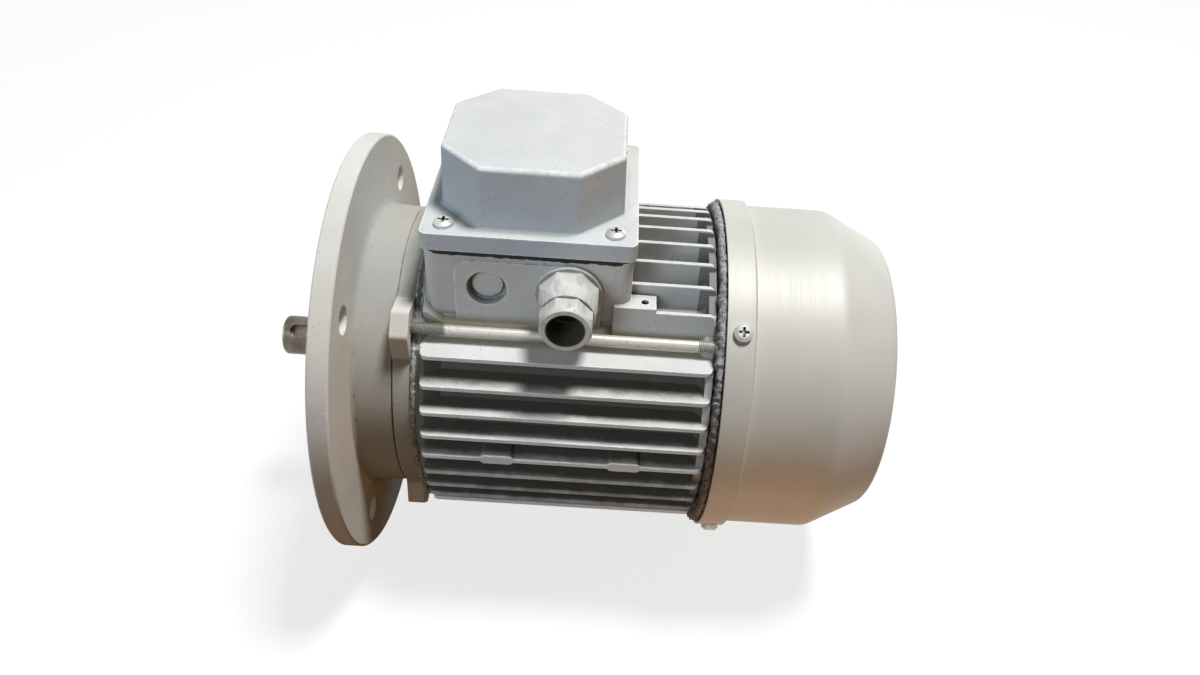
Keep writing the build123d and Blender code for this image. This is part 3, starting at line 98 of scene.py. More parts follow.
# Masks: the grain, the span of it that counts, and the values at the span's two ends
masks = {
    "paint_tone": ("paint_clouds", 0.32, 0.68, 0.0, 1.0),
    "paint_roughness": ("blasting", 0.3, 0.7, 0.42, 0.56),
    "dark_specks": ("paint_specks", 0.64, 0.72, 0.0, 0.5),
    "pinholes": ("pinholes", 0.66, 0.72, 0.0, 1.0),
    "pinhole_fields": ("pinhole_fields", 0.48, 0.62, 0.0, 1.0),
    "chipped_edges": ("edge_chips", 0.36, 0.60, 0.25, 1.0),
    "lid_rubs_and_highlight": ("lid_rubs_and_highlight", 0.35, 0.62, 0.15, 0.8),
    "warm_reflection_patches": ("warm_reflection_patches", 0.45, 0.65, 0.0, 0.6),
    "facet_scuffs": ("facet_scuffs", 0.52, 0.60, 0.0, 0.5),
    "channel_shade_border": ("channel_shade_border", 0.3, 0.7, -0.0008, 0.0008),
    "spun_tone": ("spun_clouds", 0.3, 0.7, 0.0, 1.0),
    "spun_marks": ("spun_marks", 0.68, 0.76, 0.0, 0.35),
    "spun_roughness": ("spun_rings", 0.3, 0.7, 0.47, 0.52),
    "lumps": ("lumps", 0.3, 0.7, 0.0, 1.0),
    "bright_specks": ("bright_specks", 0.56, 0.64, 0.0, 0.4),
    "ring_scuffs": ("ring_scuffs", 0.52, 0.60, 0.0, 0.85),
    "steel_stains": ("steel_stains", 0.35, 0.7, 0.0, 1.0),
    "plating_marks": ("plating_marks", 0.4, 0.7, 0.0, 0.3),
    "rod_stains": ("rod_stains", 0.55, 0.7, 0.0, 0.5),
    "moulded_tone": ("moulded_clouds", 0.3, 0.7, 0.0, 1.0),
    "moulded_chips": ("moulded_chips", 0.50, 0.60, 0.0, 1.0),
    "strands": ("strands", 0.35, 0.65, 0.0, 1.0),
    "skin_patches": ("skin_patches", 0.35, 0.65, 0.0, 1.0),
}

# Colours of dirt, wear and bare material, of painted shade, and of painted highlight and reflection
pinhole_dark = (0.08, 0.075, 0.065)
painted_hollow_shade = (0.07, 0.065, 0.055)
rubbed_and_highlit_paint = (0.74, 0.74, 0.71)
neck_shade = (0.05, 0.05, 0.045)
warm_reflection_shares = (1.0, 0.95, 0.86)
gland_scuff = (0.30, 0.305, 0.30)
gland_mouth_shade = (0.05, 0.045, 0.028)
channel_shade_tones = ((0.064, 0.061, 0.047), (0.115, 0.109, 0.086))
dust_tones = ((0.24, 0.20, 0.12), (0.42, 0.37, 0.25))
rear_web_shade = (0.16, 0.165, 0.17)
lump_tones = ((0.07, 0.07, 0.075), (0.24, 0.245, 0.26))
lump_scuff = (0.50, 0.51, 0.53)
lump_speck = (0.42, 0.42, 0.43)
painted_recess_shade = (0.02, 0.018, 0.015)
rod_plating = (0.50, 0.49, 0.44)
thread_groove_shade = (0.16, 0.155, 0.14)
soiled_thread = (0.15, 0.145, 0.13)
rod_stain = (0.12, 0.10, 0.08)
painted_plastic_shade = (0.045, 0.04, 0.025)
enamel_tones = ((0.16, 0.05, 0.02), (0.55, 0.24, 0.10))

# Places that the materials follow, in metres
lid_edge_start = 0.114
neck_span = (0.0685, 0.0700)
gland_axis = (0.100, 0.0678)
mouth_span = (0.0078, 0.0084)
fin_group_half_width = 0.0415
channel_shade_span = (0.0708, 0.0757)
channel_shade_rise_heights = (-0.018, 0.004)
channel_shade_rise = 0.0028
dust_span = (0.0665, 0.0700)
rear_web_start = 0.155
rear_web_radius = 0.0752
front_thread_end = (0.0475, 0.0500)
rear_thread_start = 0.1558
thread_pitch = 0.0008
lamination_pitch = 0.0005

# Parts of a tone that its dull, dark and worn places take
dull_paint = 0.90
dark_paint = 0.55
worn_paint = 1.6
dull_spun_paint = 0.86
dark_spun_paint = 0.6
stained_steel = 0.55
dark_plating = 0.6
dull_plastic = 0.8
dark_lamination = 0.6
dull_skin = 0.6

# Hollows darkened with painted shade: their reach in metres, then how open a fully shaded one and an
# unshaded one are
paint_hollows = (0.005, 0.2, 0.9)
recess_hollows = (0.0014, 0.45, 0.85)
plastic_hollows = (0.010, 0.25, 0.95)

# Edges that wear: the rounding in metres that finds them, then how sharp an unworn and a worn one are
paint_edges = (0.0014, 0.02, 0.18)
plastic_edges = (0.0009, 0.02, 0.3)

# Relief: the depth of each grain, and the rounding of the edges under it, in metres
paint_relief = {"cast_waves": 0.00030, "paint_specks": 0.00012, "blasting": 0.00010}
paint_rounding = 0.0007
spun_relief = {"spun_rings": 0.00001, "spun_skin": 0.00001}
spun_rounding = 0.0006
lump_relief = {"lumps": 0.0009, "ring_scuffs": 0.0008}
lump_rounding = 0.0006
steel_depth = 0.00004
steel_rounding = 0.0003
plating_relief = {"plating_marks": 0.00002}
plating_rounding = 0.0003
rod_relief = {"ridges": 0.0004, "rod_skin": 0.00002}
rod_rounding = 0.0002
plastic_rounding = 0.0004
lamination_relief = {"lines": 0.00002}
lamination_rounding = 0.0002
winding_relief = {"strands": 0.0004}
winding_rounding = 0.0003
skin_relief = {"pits": 0.0005}
skin_rounding = 0.0002

# Roughness as parts of a metal's or a plastic's own, over the middle of its grain
grain_middle = (0.3, 0.7)
steel_unevenness = (0.8, 1.35)
plastic_unevenness = (0.85, 1.15)

# The lid's rounded edge: how upward it faces, from the walls' side to the top's
edge_from_wall = (0.25, 0.5)
edge_to_top = (0.93, 0.995)

# Rays that look for edges and hollows at each point
probe_samples = 6

# Waves along the axis: the whole wave, the part of it that darkens a thread, and how much
whole_wave = (-1.0, 1.0)
groove_span = (-1.0, 0.4)
groove_share = 0.7

# How metallic the screws' plating is, and how gradually a pit in a skin begins
plating_metallic = 0.45
pit_border = 0.05

# How much of its surface each kind of dirt, wear and painted shade covers
pinhole_share = 0.75
neck_share = 0.40
mouth_shade_share = 0.92
side_channel_shade_share = 0.95
top_channel_shade_share = 0.16
dust_share = 0.8
rear_web_share = 0.85
thread_soil_share = 0.7
painted_plastic_shade_share = 0.9
plastic_chip_share = 0.8


def set_camera():
    """Camera at the photograph's viewpoint."""
    rx, ry, rz = camera_turn
    turn = Matrix.Rotation(rz, 3, "Z") @ Matrix.Rotation(ry, 3, "Y") @ Matrix.Rotation(rx, 3, "X")
    right, down, ahead = turn.row
    axes = Matrix((right, -Vector(down), -Vector(ahead))).transposed()
    data = bpy.data.cameras.new("camera")
    data.sensor_width = sensor_width
    data.lens = focal_pixels * sensor_width / picture_size[0]
    data.shift_x = (picture_size[0] / 2 - principal_point[0]) / picture_size[0]
    data.shift_y = (principal_point[1] - picture_size[1] / 2) / picture_size[0]
    data.clip_start = nearest_seen
    data.clip_end = farthest_seen
    camera = bpy.data.objects.new("camera", data)
    camera.matrix_world = Matrix.Translation(camera_place) @ axes.to_4x4()
    bpy.context.scene.collection.objects.link(camera)
    bpy.context.scene.camera = camera


def shade(tone, share):
    """A tone made darker or lighter, up to white."""
    return tuple(min(1.0, channel * share) for channel in tone)


class Shader:
    """A material being built: short calls that add and join its nodes."""

    def __init__(self, name):
        self.material = bpy.data.materials.new(name)
        self.material.use_nodes = True
        self.tree = self.material.node_tree
        self.tree.nodes.clear()
        self.surface = self.tree.nodes.new("ShaderNodeBsdfPrincipled")
        self.output = self.tree.nodes.new("ShaderNodeOutputMaterial")
        self.tree.links.new(self.surface.outputs[0], self.output.inputs["Surface"])
        self.place = self.add("ShaderNodeTexCoord").outputs["Object"]
        self.heights = {}

    def add(self, kind, inputs=None, **settings):
        """One node with its settings, and its inputs given as numbers or sockets."""
        node = self.tree.nodes.new(kind)
        for key, value in settings.items():
            setattr(node, key, value)
        for key, value in (inputs or {}).items():
            self.put(node.inputs[key], value)
        return node

    def put(self, socket, value):
        """Joins a socket to another, or sets its number."""
        if isinstance(value, bpy.types.NodeSocket):
            self.tree.links.new(value, socket)
        else:
            socket.default_value = value

    def set(self, **inputs):
        """Inputs of the surface; an underscore in a name stands for a space."""
        for key, value in inputs.items():
            self.put(self.surface.inputs[key.replace("_", " ")], value)

    def paint(self, colour):
        """The surface's first colour."""
        self.colour = colour
        self.set(Base_Color=colour)

    def cover(self, amount, colour):
        """Lays a colour over the surface, as far as the mask goes."""
        self.paint(self.blend(amount, self.colour, colour))

    def math(self, operation, a, b=0.0, clamp=False):
        """Result of one math operation."""
        return self.add("ShaderNodeMath", {0: a, 1: b}, operation=operation, use_clamp=clamp).outputs[0]

    def product(self, first, *others):
        """Several values multiplied together."""
        for other in others:
            first = self.math("MULTIPLY", first, other)
        return first

    def grain(self, name):
        """One of the named noises, from 0 to 1, or a height of the material's own."""
        if name not in self.heights:
            scale, detail, roughness, stretch = grains[name]
            spot = self.place
            if stretch != even:
                spot = self.add("ShaderNodeMapping", {"Vector": spot, "Scale": stretch}).outputs[0]
            inputs = {"Vector": spot, "Scale": scale, "Detail": detail, "Roughness": roughness}
            self.heights[name] = self.add("ShaderNodeTexNoise", inputs).outputs["Fac"]
        return self.heights[name]

    def mask(self, name):
        """One of the named masks."""
        grain_name, *spans = masks[name]
        return self.ramp(self.grain(grain_name), *spans)

    def ramp(self, value, low, high, to_low=0.0, to_high=1.0):
        """Value carried from low..high to to_low..to_high, without going past them."""
        inputs = {"Value": value, 1: low, 2: high, 3: to_low, 4: to_high}
        return self.add("ShaderNodeMapRange", inputs, interpolation_type="SMOOTHSTEP").outputs[0]

    def uneven(self, grain_name, value, parts):
        """A value that a grain carries from one part of itself to another."""
        return self.ramp(self.grain(grain_name), *grain_middle, *[value * part for part in parts])

    def blend(self, amount, first, second):
        """Mix of two colours."""
        node = self.add("ShaderNodeMix", data_type="RGBA")
        self.put(node.inputs["Factor"], amount)
        for key, colour in ((6, first), (7, second)):
            if isinstance(colour, tuple):
                colour = (*colour, 1.0)
            self.put(node.inputs[key], colour)
        return node.outputs[2]

    def axis(self, index):
        """One coordinate of the object, in metres."""
        return self.add("ShaderNodeSeparateXYZ", {0: self.place}).outputs[index]

    def radius(self, across=(1, 2), centre=(0.0, 0.0)):
        """Distance from a line along the coordinate that is left out."""
        squares = []
        for index, middle in zip(across, centre):
            offset = self.math("SUBTRACT", self.axis(index), middle)
            squares.append(self.math("MULTIPLY", offset, offset))
        return self.math("SQRT", self.math("ADD", *squares))

    def edges(self, rounding, low, high):
        """Mask that is 1 on sharp edges and 0 on flats."""
        rounded = self.add("ShaderNodeBevel", {"Radius": rounding}, samples=probe_samples).outputs[0]
        true_normal = self.add("ShaderNodeNewGeometry").outputs["True Normal"]
        dot = self.add("ShaderNodeVectorMath", {0: rounded, 1: true_normal}, operation="DOT_PRODUCT")
        return self.ramp(self.math("SUBTRACT", 1.0, dot.outputs["Value"]), low, high)

    def hollows(self, reach, low, high):
        """Mask that is 1 deep in recesses and seams and 0 in the open."""
        settings = {"samples": probe_samples, "only_local": True}
        node = self.add("ShaderNodeAmbientOcclusion", {"Distance": reach}, **settings)
        return self.ramp(node.outputs["AO"], low, high, 1.0, 0.0)

    def relief(self, depths, rounding):
        """Rounded edges, then a stack of bumps from the grains named, each with its depth."""
        normal = self.add("ShaderNodeBevel", {"Radius": rounding}, samples=probe_samples).outputs[0]
        for name, depth in depths.items():
            inputs = {"Height": self.grain(name), "Distance": depth, "Strength": 1.0, "Normal": normal}
            normal = self.add("ShaderNodeBump", inputs).outputs[0]
        self.set(Normal=normal)


def dress(shader, *names):
    """Gives a material to CAD nodes."""
    for name in names:
        node = nodes[name]
        if not node.material_slots:
            node.data.materials.append(None)
        for slot in node.material_slots:
            slot.material = shader.material


def cast_paint(name, tone, wear, shine, hollow_shade_share):
    """Silver-grey paint over a fine blasted casting, worn pale at its edges, with painted shade in its
    hollows.
    """
    s = Shader(name)
    s.paint(s.blend(s.mask("paint_tone"), shade(tone, dull_paint), tone))
    s.cover(s.mask("dark_specks"), shade(tone, dark_paint))
    s.cover(s.product(s.mask("pinholes"), s.mask("pinhole_fields"), pinhole_share), pinhole_dark)
    # Painted shade: hollows, seams and recesses darkened
    s.cover(s.product(s.hollows(*paint_hollows), hollow_shade_share), painted_hollow_shade)
    worn = s.product(s.edges(*paint_edges), s.mask("chipped_edges"), wear)
    s.cover(worn, shade(tone, worn_paint))
    s.set(Roughness=s.mask("paint_roughness"), Specular_IOR_Level=shine)
    s.relief(paint_relief, paint_rounding)
    return s


def lid_paint(name, tone):
    """The lid's paint, rubbed pale and with a painted highlight along the upward rounded edge of its
    raised part.
    """
    s = cast_paint(name, tone, wear=1.0, shine=0.02, hollow_shade_share=0.5)
    normal = s.add("ShaderNodeNewGeometry").outputs["Normal"]
    upward = s.add("ShaderNodeSeparateXYZ", {0: normal}).outputs[2]
    # Painted highlight with wear: the rounded edge that faces partly upward made pale
    slanted = s.product(s.ramp(upward, *edge_from_wall), s.ramp(upward, *edge_to_top, 1.0, 0.0))
    raised = s.math("GREATER_THAN", s.axis(2), lid_edge_start)
    s.cover(s.product(slanted, raised, s.mask("lid_rubs_and_highlight")), rubbed_and_highlit_paint)
    return s


def flange_paint(name, tone):
    """The flange's paint, with a painted warm reflection in patches, and a little darker on the neck.
    """
    s = cast_paint(name, tone, wear=0.6, shine=0.0, hollow_shade_share=0.5)
    # Painted warm reflection, laid in random patches
    warm_reflected = tuple(channel * share for channel, share in zip(tone, warm_reflection_shares))
    s.cover(s.mask("warm_reflection_patches"), warm_reflected)
    s.cover(s.ramp(s.radius(), *neck_span, neck_share, 0.0), neck_shade)
    return s


def frame_paint(name, tone):
    """The housing's paint, with painted shade deep between its fins and dust under the tie rods."""
    s = cast_paint(name, tone, wear=0.8, shine=0.06, hollow_shade_share=0.75)
    aside = s.math("ABSOLUTE", s.axis(1))
    upright = s.math("ABSOLUTE", s.axis(2))
    radius = s.radius()
    # Painted shade: the channels between the fins darkened, strongly at the side and little on top
    lowered = s.ramp(s.axis(2), *channel_shade_rise_heights, -channel_shade_rise, 0.0)
    border = s.math("ADD", s.mask("channel_shade_border"), lowered)
    deep = s.ramp(s.math("ADD", radius, border), *channel_shade_span, 1.0, 0.0)
    at_side = s.math("LESS_THAN", upright, fin_group_half_width)
    at_top = s.math("LESS_THAN", aside, fin_group_half_width)
    side_channel_shade = s.product(at_side, side_channel_shade_share)
    reach = s.math("ADD", side_channel_shade, s.product(at_top, top_channel_shade_share), clamp=True)
    s.cover(s.product(deep, reach), s.blend(s.grain("channel_shade_grain"), *channel_shade_tones))
    past_side = s.math("GREATER_THAN", upright, fin_group_half_width)
    past_top = s.math("GREATER_THAN", aside, fin_group_half_width)
    channel_floor = s.product(s.ramp(radius, *dust_span, 1.0, 0.0), past_side, past_top)
    s.cover(s.product(channel_floor, dust_share), s.blend(s.grain("dust"), *dust_tones))
    rearward = s.math("GREATER_THAN", s.axis(0), rear_web_start)
    inside = s.math("LESS_THAN", radius, rear_web_radius)
    s.cover(s.product(rearward, at_top, inside, rear_web_share), rear_web_shade)
    return s


def spun_paint(name, tone):
    """Smooth satin paint on a spun sheet, with faint rings round the axis."""
    s = Shader(name)
    s.paint(s.blend(s.mask("spun_tone"), shade(tone, dull_spun_paint), tone))
    s.cover(s.mask("spun_marks"), shade(tone, dark_spun_paint))
    s.set(Metallic=0.10, Roughness=s.mask("spun_roughness"), Specular_IOR_Level=0.1)
    s.relief(spun_relief, spun_rounding)
    return s


def rough_casting(name):
    """Dark rough casting with bright specks where it is scuffed."""
    s = Shader(name)
    s.paint(s.blend(s.mask("lumps"), *lump_tones))
    s.cover(s.mask("ring_scuffs"), lump_scuff)
    s.cover(s.mask("bright_specks"), lump_speck)
    s.set(Roughness=0.6, Specular_IOR_Level=0.1)
    s.relief(lump_relief, lump_rounding)
    return s


def bare_steel(name, tone, roughness, marks="steel_marks"):
    """Bare or plated metal with fine marks."""
    s = Shader(name)
    s.paint(s.blend(s.mask("steel_stains"), shade(tone, stained_steel), tone))
    s.set(Metallic=1.0, Roughness=s.uneven(marks, roughness, steel_unevenness))
    s.relief({marks: steel_depth}, steel_rounding)
    return s


def screw_plating(name, tone):
    """Nickel plating, with painted shade inside the cross recess."""
    s = Shader(name)
    recess = s.hollows(*recess_hollows)
    s.paint(s.blend(s.mask("plating_marks"), tone, shade(tone, dark_plating)))
    # Painted shade: the cross recess darkened and its metal made dull
    s.cover(recess, painted_recess_shade)
    metal = s.ramp(recess, 0.0, 1.0, plating_metallic, 0.0)
    s.set(Metallic=metal, Roughness=0.4, Specular_IOR_Level=0.3)
    s.relief(plating_relief, plating_rounding)
    return s


def wave_along(s, pitch):
    """Wave from -1 to 1 along the motor's axis."""
    return s.math("SINE", s.math("MULTIPLY", s.axis(0), 2 * math.pi / pitch))


def threaded_rod(name):
    """Plated rod with a thread at each end, painted shade in the threads' grooves, the front thread
    soiled.
    """
    s = Shader(name)
    wave = wave_along(s, thread_pitch)
    front = s.ramp(s.axis(0), *front_thread_end, 1.0, 0.0)
    rear = s.math("GREATER_THAN", s.axis(0), rear_thread_start)
    thread = s.math("ADD", front, rear, clamp=True)
    # Painted shade: the grooves of both threads darkened
    groove = s.product(thread, s.ramp(wave, *groove_span, groove_share, 0.0))
    s.paint(s.blend(groove, rod_plating, thread_groove_shade))
    s.cover(s.product(front, thread_soil_share), soiled_thread)
    s.cover(s.mask("rod_stains"), rod_stain)
    s.set(Metallic=0.35, Roughness=0.42, Specular_IOR_Level=0.2)
    s.heights["ridges"] = s.product(s.ramp(wave, *whole_wave), thread)
    s.relief(rod_relief, rod_rounding)
    return s


def moulding(name, tone, roughness, depth=0.00002):
    """Moulded plastic or rubber with a fine skin."""
    s = Shader(name)
    s.paint(s.blend(s.mask("moulded_tone"), shade(tone, dull_plastic), tone))
    s.set(Roughness=s.uneven("moulded_skin", roughness, plastic_unevenness))
    s.relief({"moulded_skin": depth}, plastic_rounding)
    return s


def gland_plastic(name, tone, worn):
    """The gland's grey moulding, with painted shade in its hollows and its mouth, chipped and scuffed
    on its facets.
    """
    s = moulding(name, tone, roughness=0.42, depth=0.00006)
    # Painted shade: the gland's hollows darkened
    s.cover(s.product(s.hollows(*plastic_hollows), painted_plastic_shade_share), painted_plastic_shade)
    chips = s.product(s.edges(*plastic_edges), s.mask("moulded_chips"), plastic_chip_share)
    s.cover(chips, worn)
    s.cover(s.mask("facet_scuffs"), gland_scuff)
    # Painted shade: the inside of the mouth darkened
    mouth = s.ramp(s.radius((0, 2), gland_axis), *mouth_span, mouth_shade_share, 0.0)
    s.cover(mouth, gland_mouth_shade)
    return s


def laminations(name, tone):
    """Edge of a lamination stack: fine lines across the axis."""
    s = Shader(name)
    wave = wave_along(s, lamination_pitch)
    s.paint(s.blend(s.ramp(wave, *whole_wave), shade(tone, dark_lamination), tone))
    s.set(Metallic=0.8, Roughness=0.45)
    s.heights["lines"] = wave
    s.relief(lamination_relief, lamination_rounding)
    return s


def winding(name):
    """Bundled enamelled wire."""
    s = Shader(name)
    s.paint(s.blend(s.mask("strands"), *enamel_tones))
    s.set(Metallic=0.5, Roughness=0.35, Coat_Weight=0.4, Coat_Roughness=0.2)
    s.relief(winding_relief, winding_rounding)
    return s


def speckled_skin(name, light, dark, pits_from):
    """Rough skin of a casting: light paint with dark pits."""
    s = Shader(name)
    s.paint(s.blend(s.mask("skin_patches"), shade(light, dull_skin), light))
    s.cover(s.ramp(s.grain("pits"), pits_from, pits_from + pit_border), dark)
    s.set(Roughness=0.6, Specular_IOR_Level=0.05)
    s.relief(skin_relief, skin_rounding)
    return s


def dress_everything():
    """A material for every CAD node."""
    dress(frame_paint("frame_paint", (0.58, 0.585, 0.575)), "stator_housing")
    dress(flange_paint("flange_paint", (0.64, 0.64, 0.615)), "flange_end_shield")
    dress(lid_paint("lid_paint", (0.555, 0.567, 0.565)), "terminal_box_lid")
    dress(rough_casting("rear_casting"), "fan_end_shield")
    dress(spun_paint("fan_cover_paint", (0.60, 0.597, 0.565)), "fan_cover")
    dress(bare_steel("shaft_steel", (0.20, 0.175, 0.14), 0.28, "turned_marks"), "rotor_shaft")
    dress(threaded_rod("tie_rod_steel"), "tie_rods")
    dress(screw_plating("screw_nickel", (0.58, 0.575, 0.55)), "fan_cover_screws", "lid_screws")
    plated = ("tie_rod_nuts", "tie_rod_washers", "terminal_board_screws")
    dress(bare_steel("plated_steel", (0.62, 0.61, 0.60), 0.28), *plated)
    springs = ("drive_bearing_circlip", "wave_spring", "fan_clip")
    dress(bare_steel("spring_steel", (0.10, 0.10, 0.11), 0.4), *springs)
    bearing_pieces = ("outer_ring", "inner_ring", "shields", "balls", "cage")
    bearings = [f"{end}_bearing_{piece}" for end in ("drive", "fan") for piece in bearing_pieces]
    dress(bare_steel("bearing_steel", (0.70, 0.70, 0.70), 0.16), *bearings)
    dress(laminations("lamination_steel", (0.30, 0.31, 0.33)), "stator_core", "rotor_core")
    dress(bare_steel("cage_aluminium", (0.62, 0.63, 0.64), 0.5), "rotor_cage")
    dress(winding("winding_copper"), "stator_winding")
    rubbers = ("terminal_box_gasket", "shaft_seal", "lead_bush", "gland_seal")
    dress(moulding("black_rubber", (0.020, 0.020, 0.020), 0.7, 0.00004), *rubbers)
    gland = gland_plastic("gland_moulding", (0.57, 0.575, 0.545), worn=(0.9, 0.9, 0.87))
    dress(gland, "gland_body", "gland_nut", "gland_locknut", "gland_ring")
    dress(moulding("fan_moulding", (0.02, 0.02, 0.02), 0.5), "cooling_fan")
    dress(moulding("board_moulding", (0.10, 0.05, 0.03), 0.4), "terminal_board")
    brasses = ("terminal_studs", "terminal_nuts", "terminal_links", "inner_earth_screw")
    dress(bare_steel("terminal_brass", (0.75, 0.52, 0.22), 0.3), *brasses)


def noise_at(spot, scale, octaves=3):
    """Smooth seeded noise at a point, from about -1 to 1."""
    value = 0.0
    for octave in range(octaves):
        value += noise.noise(Vector(spot) * scale * 2**octave) / 2**octave
    return value


def add_tube(name, points, sides, shader):
    """A closed tube on the motor's body, from points that go round each of its sections."""
    turns = len(points) // sides
    faces = []
    for i in range(turns):
        for j in range(sides):
            here = i * sides
            there = (i + 1) % turns * sides
            beside = (j + 1) % sides
            faces.append((here + j, here + beside, there + beside, there + j))
    mesh = bpy.data.meshes.new(name)
    mesh.from_pydata(points, [], faces)
    for polygon in mesh.polygons:
        polygon.use_smooth = True
    mesh.materials.append(shader.material)
    piece = bpy.data.objects.new(name, mesh)
    bpy.context.scene.collection.objects.link(piece)
    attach(piece, "motor_body")
    return piece


# Ragged rings: their divisions, and the noise that makes them lumpy and lets them drift
ring_turns = 900
ring_sides = 12
lump_scale = 420.0
drift_scale = 150.0
drift_share = 0.25
lump_reach = 0.01


def ragged_ring(name, shader, station, radius, width, thickness, roughness):
    """Rough ring of casting skin round the axis, its width and height uneven."""
    points = []
    for i in range(ring_turns):
        angle = 2 * math.pi * i / ring_turns
        out = (math.cos(angle), math.sin(angle))
        for j in range(ring_sides):
            turn = 2 * math.pi * j / ring_sides
            spot = (station + lump_reach * math.cos(turn), out[0] * radius, out[1] * radius)
            lump = 1.0 + roughness * noise_at(spot, lump_scale)
            drift = drift_share * width * noise_at(spot, drift_scale, octaves=2)
            x = station + width * math.cos(turn) * lump + drift
            r = radius + thickness * math.sin(turn) * lump
            points.append((x, r * out[0], r * out[1]))
    return add_tube(name, points, ring_sides, shader)


# The sealant's lip: the corners and steps of its path, how far it hangs and how far it stands out
lip_sides = 4
lip_corner = 0.006
lip_corner_steps = 8
lip_step = 0.0006
lip_drop = 0.0006
lip_rear_drop = 0.0004
lip_rag = 0.0004
lip_out = 0.00045
lip_out_rag = 0.00015
blob_out = 0.0007
blob_from = 0.35
lip_bevel = 0.0001
rag_scale = 260.0
rag_plane = 0.3
rag_least = -0.6
blob_scale = 330.0
blob_plane = 0.7


def lip_path(x0, y0, x1, y1):
    """Points close together round the gasket's edge, each with its way outward."""
    corners = ((x1, y1, 0), (x0, y1, 90), (x0, y0, 180), (x1, y0, 270))
    path = []
    for x, y, start in corners:
        cx = x - math.copysign(lip_corner, x - (x0 + x1) / 2)
        cy = y - math.copysign(lip_corner, y - (y0 + y1) / 2)
        for step in range(lip_corner_steps + 1):
            angle = math.radians(start + 90 * step / lip_corner_steps)
            way = (math.cos(angle), math.sin(angle))
            path.append((cx + lip_corner * way[0], cy + lip_corner * way[1], way))
    fine = []
    for i, (x, y, way) in enumerate(path):
        nx, ny, next_way = path[(i + 1) % len(path)]
        steps = max(1, round(math.hypot(nx - x, ny - y) / lip_step))
        for k in range(steps):
            t = k / steps
            blend_way = tuple(way[a] * (1 - t) + next_way[a] * t for a in (0, 1))
            fine.append((x + (nx - x) * t, y + (ny - y) * t, blend_way))
    return fine


def gasket_lip():
    """Black sealant squeezed out under the lid, uneven along its lower edge."""
    (x0, y0, z0), (x1, y1, z1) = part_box("terminal_box_gasket")
    points = []
    for x, y, way in lip_path(x0, y0, x1, y1):
        rough = noise_at((x, y, rag_plane), rag_scale)
        along = (x - x0) / (x1 - x0)
        low = z0 - lip_drop - lip_rear_drop * along - lip_rag * max(rag_least, rough)
        blob = blob_out * max(0.0, noise_at((x, y, blob_plane), blob_scale) - blob_from)
        out = lip_out + lip_out_rag * rough
        section = ((0.0, low), (out, low + lip_bevel), (out + blob, z1), (0.0, z1))
        points += [(x + way[0] * reach, y + way[1] * reach, height) for reach, height in section]
    sealant = moulding("sealant", (0.012, 0.012, 0.011), 0.75, 0.00004)
    lip = add_tube("gasket_lip", points, lip_sides, sealant)


def add_small_pieces():
    """Rough skin at the seams of the castings, and the sealant."""
    skin = speckled_skin("seam_skin", (0.66, 0.66, 0.63), (0.05, 0.045, 0.035), pits_from=0.56)
    bead = ragged_ring(
        "front_seam_bead",
        skin,
        station=0.0358,
        radius=0.0676,
        width=0.0011,
        thickness=0.0013,
        roughness=0.7,
    )
    scuffed = speckled_skin("rear_skin", (0.50, 0.51, 0.54), (0.05, 0.05, 0.05), pits_from=0.535)
    ring = ragged_ring(
        "rear_ring_skin",
        scuffed,
        station=0.1650,
        radius=0.0753,
        width=0.0021,
        thickness=0.0028,
        roughness=0.45,
    )
    gasket_lip()


# Floor: its height and reach in metres, the colour that it sends up at the motor, the colour
# and glow that the camera sees, and how much of a shadow shows on it
floor_height = cad_box[0][2]
floor_reach = 4.0
floor_bounce = (0.20, 0.11, 0.045, 1.0)
floor_pale = (0.95, 0.95, 0.95, 1.0)
floor_glow = 1.05
shadow_share = 0.25
pure_white = (1.0, 1.0, 1.0, 1.0)


def pale_ground(name):
    """Floor that the camera and mirrors see as white, with a soft shadow on it."""
    s = Shader(name)
    s.set(Base_Color=floor_bounce, Roughness=0.9, Specular_IOR_Level=0.1)
    path = s.add("ShaderNodeLightPath").outputs
    seen = s.math("MAXIMUM", path["Is Camera Ray"], path["Is Glossy Ray"])
    seen = s.math("MAXIMUM", seen, path["Is Transmission Ray"])
    white = s.add("ShaderNodeEmission", {"Color": pure_white, "Strength": floor_glow}).outputs[0]
    pale = s.add("ShaderNodeBsdfDiffuse", {"Color": floor_pale}).outputs[0]
    shown = s.add("ShaderNodeMixShader", {0: shadow_share, 1: white, 2: pale}).outputs[0]
    mixed = s.add("ShaderNodeMixShader", {0: seen, 1: s.surface.outputs[0], 2: shown}).outputs[0]
    s.tree.links.new(mixed, s.output.inputs["Surface"])
    return s


def add_floor():
    """Plain pale floor under the flange's rim."""
    corners = [(-1, -1), (1, -1), (1, 1), (-1, 1)]
    mesh = bpy.data.meshes.new("floor")
    points = [(x * floor_reach, y * floor_reach, floor_height) for x, y in corners]
    mesh.from_pydata(points, [], [(0, 1, 2, 3)])
    floor = bpy.data.objects.new("floor", mesh)
    mesh.materials.append(pale_ground("pale_floor").material)
    bpy.context.scene.collection.objects.link(floor)


# Middle of the motor, in metres, which the lamps face
lit_middle = Vector((0.10, 0.0, 0.03))


def around(way, distance=1.8):
    """Place at a distance from the motor's middle, on a way out from it."""
    return lit_middle + distance * Vector(way).normalized()


# Which nodes the lamps light, where a lamp doesn't light everything
all_but_cover = [name for name in nodes if name != "fan_cover"]
lid_pieces = ["terminal_box_lid", "terminal_box_gasket", "lid_screws"]
side_pieces = ["stator_housing", "tie_rods", "gland_body", "gland_nut"]
front_pieces = ["flange_end_shield", "rotor_shaft", "shaft_seal"]

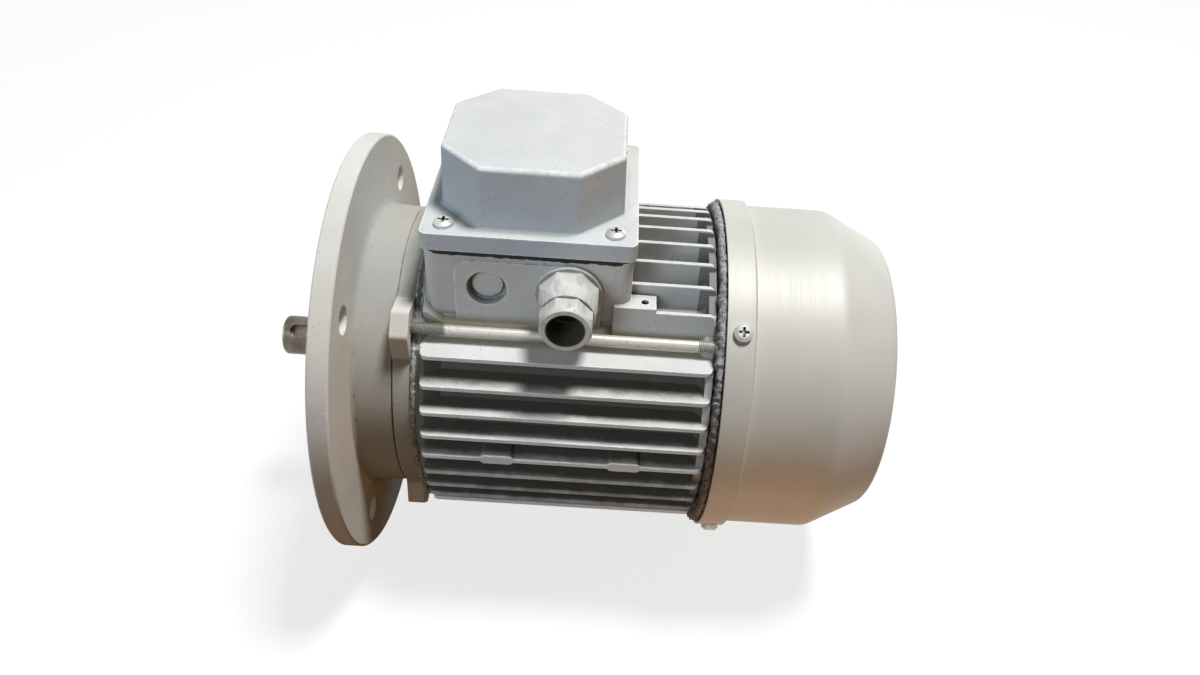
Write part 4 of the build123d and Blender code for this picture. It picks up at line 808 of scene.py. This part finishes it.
# Lamps: place and target, width and height, watts, colour and the nodes that they light
cool_place = around((-0.50, -0.80, 0.34))
key_place = around((0.22, 0.04, 0.95), 2.0)
fill_place = around((-0.35, -0.70, 0.62))
card_lift = 0.004
card_place = (0.225, -0.11, floor_height + card_lift)
card_target = (0.225, -0.07, 0.0)
front_place = around((-0.96, -0.12, 0.20))
back_place = around((0.42, 0.90, 0.0))
cover_place = around((0.60, 0.80, -0.10))
key_size = (0.42, 0.42)
fill_size = (1.0, 0.6)
card_size = (0.20, 0.14)
plain_size = (1.0, 0.8)
plain_white = (0.95, 0.98, 1.0)
lamps = {
    "key": (key_place, lit_middle, key_size, 50.0, (1.0, 0.99, 0.965), None),
    "fill": (fill_place, lit_middle, fill_size, 2.2, (1.0, 1.0, 0.97), all_but_cover),
    "lid_fill": (cool_place, lit_middle, fill_size, 14.5, (0.62, 0.79, 1.0), lid_pieces),
    "cool_fill": (cool_place, lit_middle, fill_size, 11.8, (0.76, 0.87, 1.0), side_pieces),
    "warm_card": (card_place, card_target, card_size, 0.085, (1.0, 0.50, 0.19), None),
    "front_fill": (front_place, lit_middle, plain_size, 13.0, (1.0, 0.98, 0.96), front_pieces),
    "back_fill": (back_place, lit_middle, plain_size, 9.0, plain_white, all_but_cover),
    "cover_back": (cover_place, lit_middle, plain_size, 3.5, plain_white, ["fan_cover"]),
}

# Sky: the colour and the strength that light the motor
world_colour = (0.86, 0.92, 1.0, 1.0)
world_strength = 0.032


def add_lamp(name, place, target, size, power, colour, only):
    """Soft rectangular lamp aimed at a point, which lights everything or only the nodes named."""
    data = bpy.data.lights.new(name, "AREA")
    data.shape = "RECTANGLE"
    data.size, data.size_y = size
    data.energy = power
    data.color = colour
    lamp = bpy.data.objects.new(name, data)
    aim = Vector(target) - Vector(place)
    lamp.matrix_world = Matrix.Translation(place) @ aim.to_track_quat("-Z", "X").to_matrix().to_4x4()
    bpy.context.scene.collection.objects.link(lamp)
    lamp.visible_camera = False
    if only:
        receivers = bpy.data.collections.new(name + "_receivers")
        for node_name in only:
            receivers.objects.link(nodes[node_name])
        lamp.light_linking.receiver_collection = receivers


def add_world():
    """Weak sky that the camera and mirrors see as white."""
    world = bpy.data.worlds.new("world")
    bpy.context.scene.world = world
    world.use_nodes = True
    tree = world.node_tree
    tree.nodes.clear()
    path = tree.nodes.new("ShaderNodeLightPath").outputs
    seen = path["Is Camera Ray"]
    for kind in ("Is Glossy Ray", "Is Transmission Ray"):
        either = tree.nodes.new("ShaderNodeMath")
        either.operation = "MAXIMUM"
        tree.links.new(seen, either.inputs[0])
        tree.links.new(path[kind], either.inputs[1])
        seen = either.outputs[0]
    mix = tree.nodes.new("ShaderNodeMixShader")
    tree.links.new(seen, mix.inputs[0])
    for socket, colour, strength in ((1, world_colour, world_strength), (2, pure_white, 1.0)):
        sky = tree.nodes.new("ShaderNodeBackground")
        sky.inputs["Color"].default_value = colour
        sky.inputs["Strength"].default_value = strength
        tree.links.new(sky.outputs[0], mix.inputs[socket])
    output = tree.nodes.new("ShaderNodeOutputWorld")
    tree.links.new(mix.outputs[0], output.inputs["Surface"])


set_camera()
dress_everything()
add_small_pieces()
add_floor()
for lamp_name, settings in lamps.items():
    add_lamp(lamp_name, *settings)
add_world()
bpy.context.scene.view_settings.view_transform = "Standard"
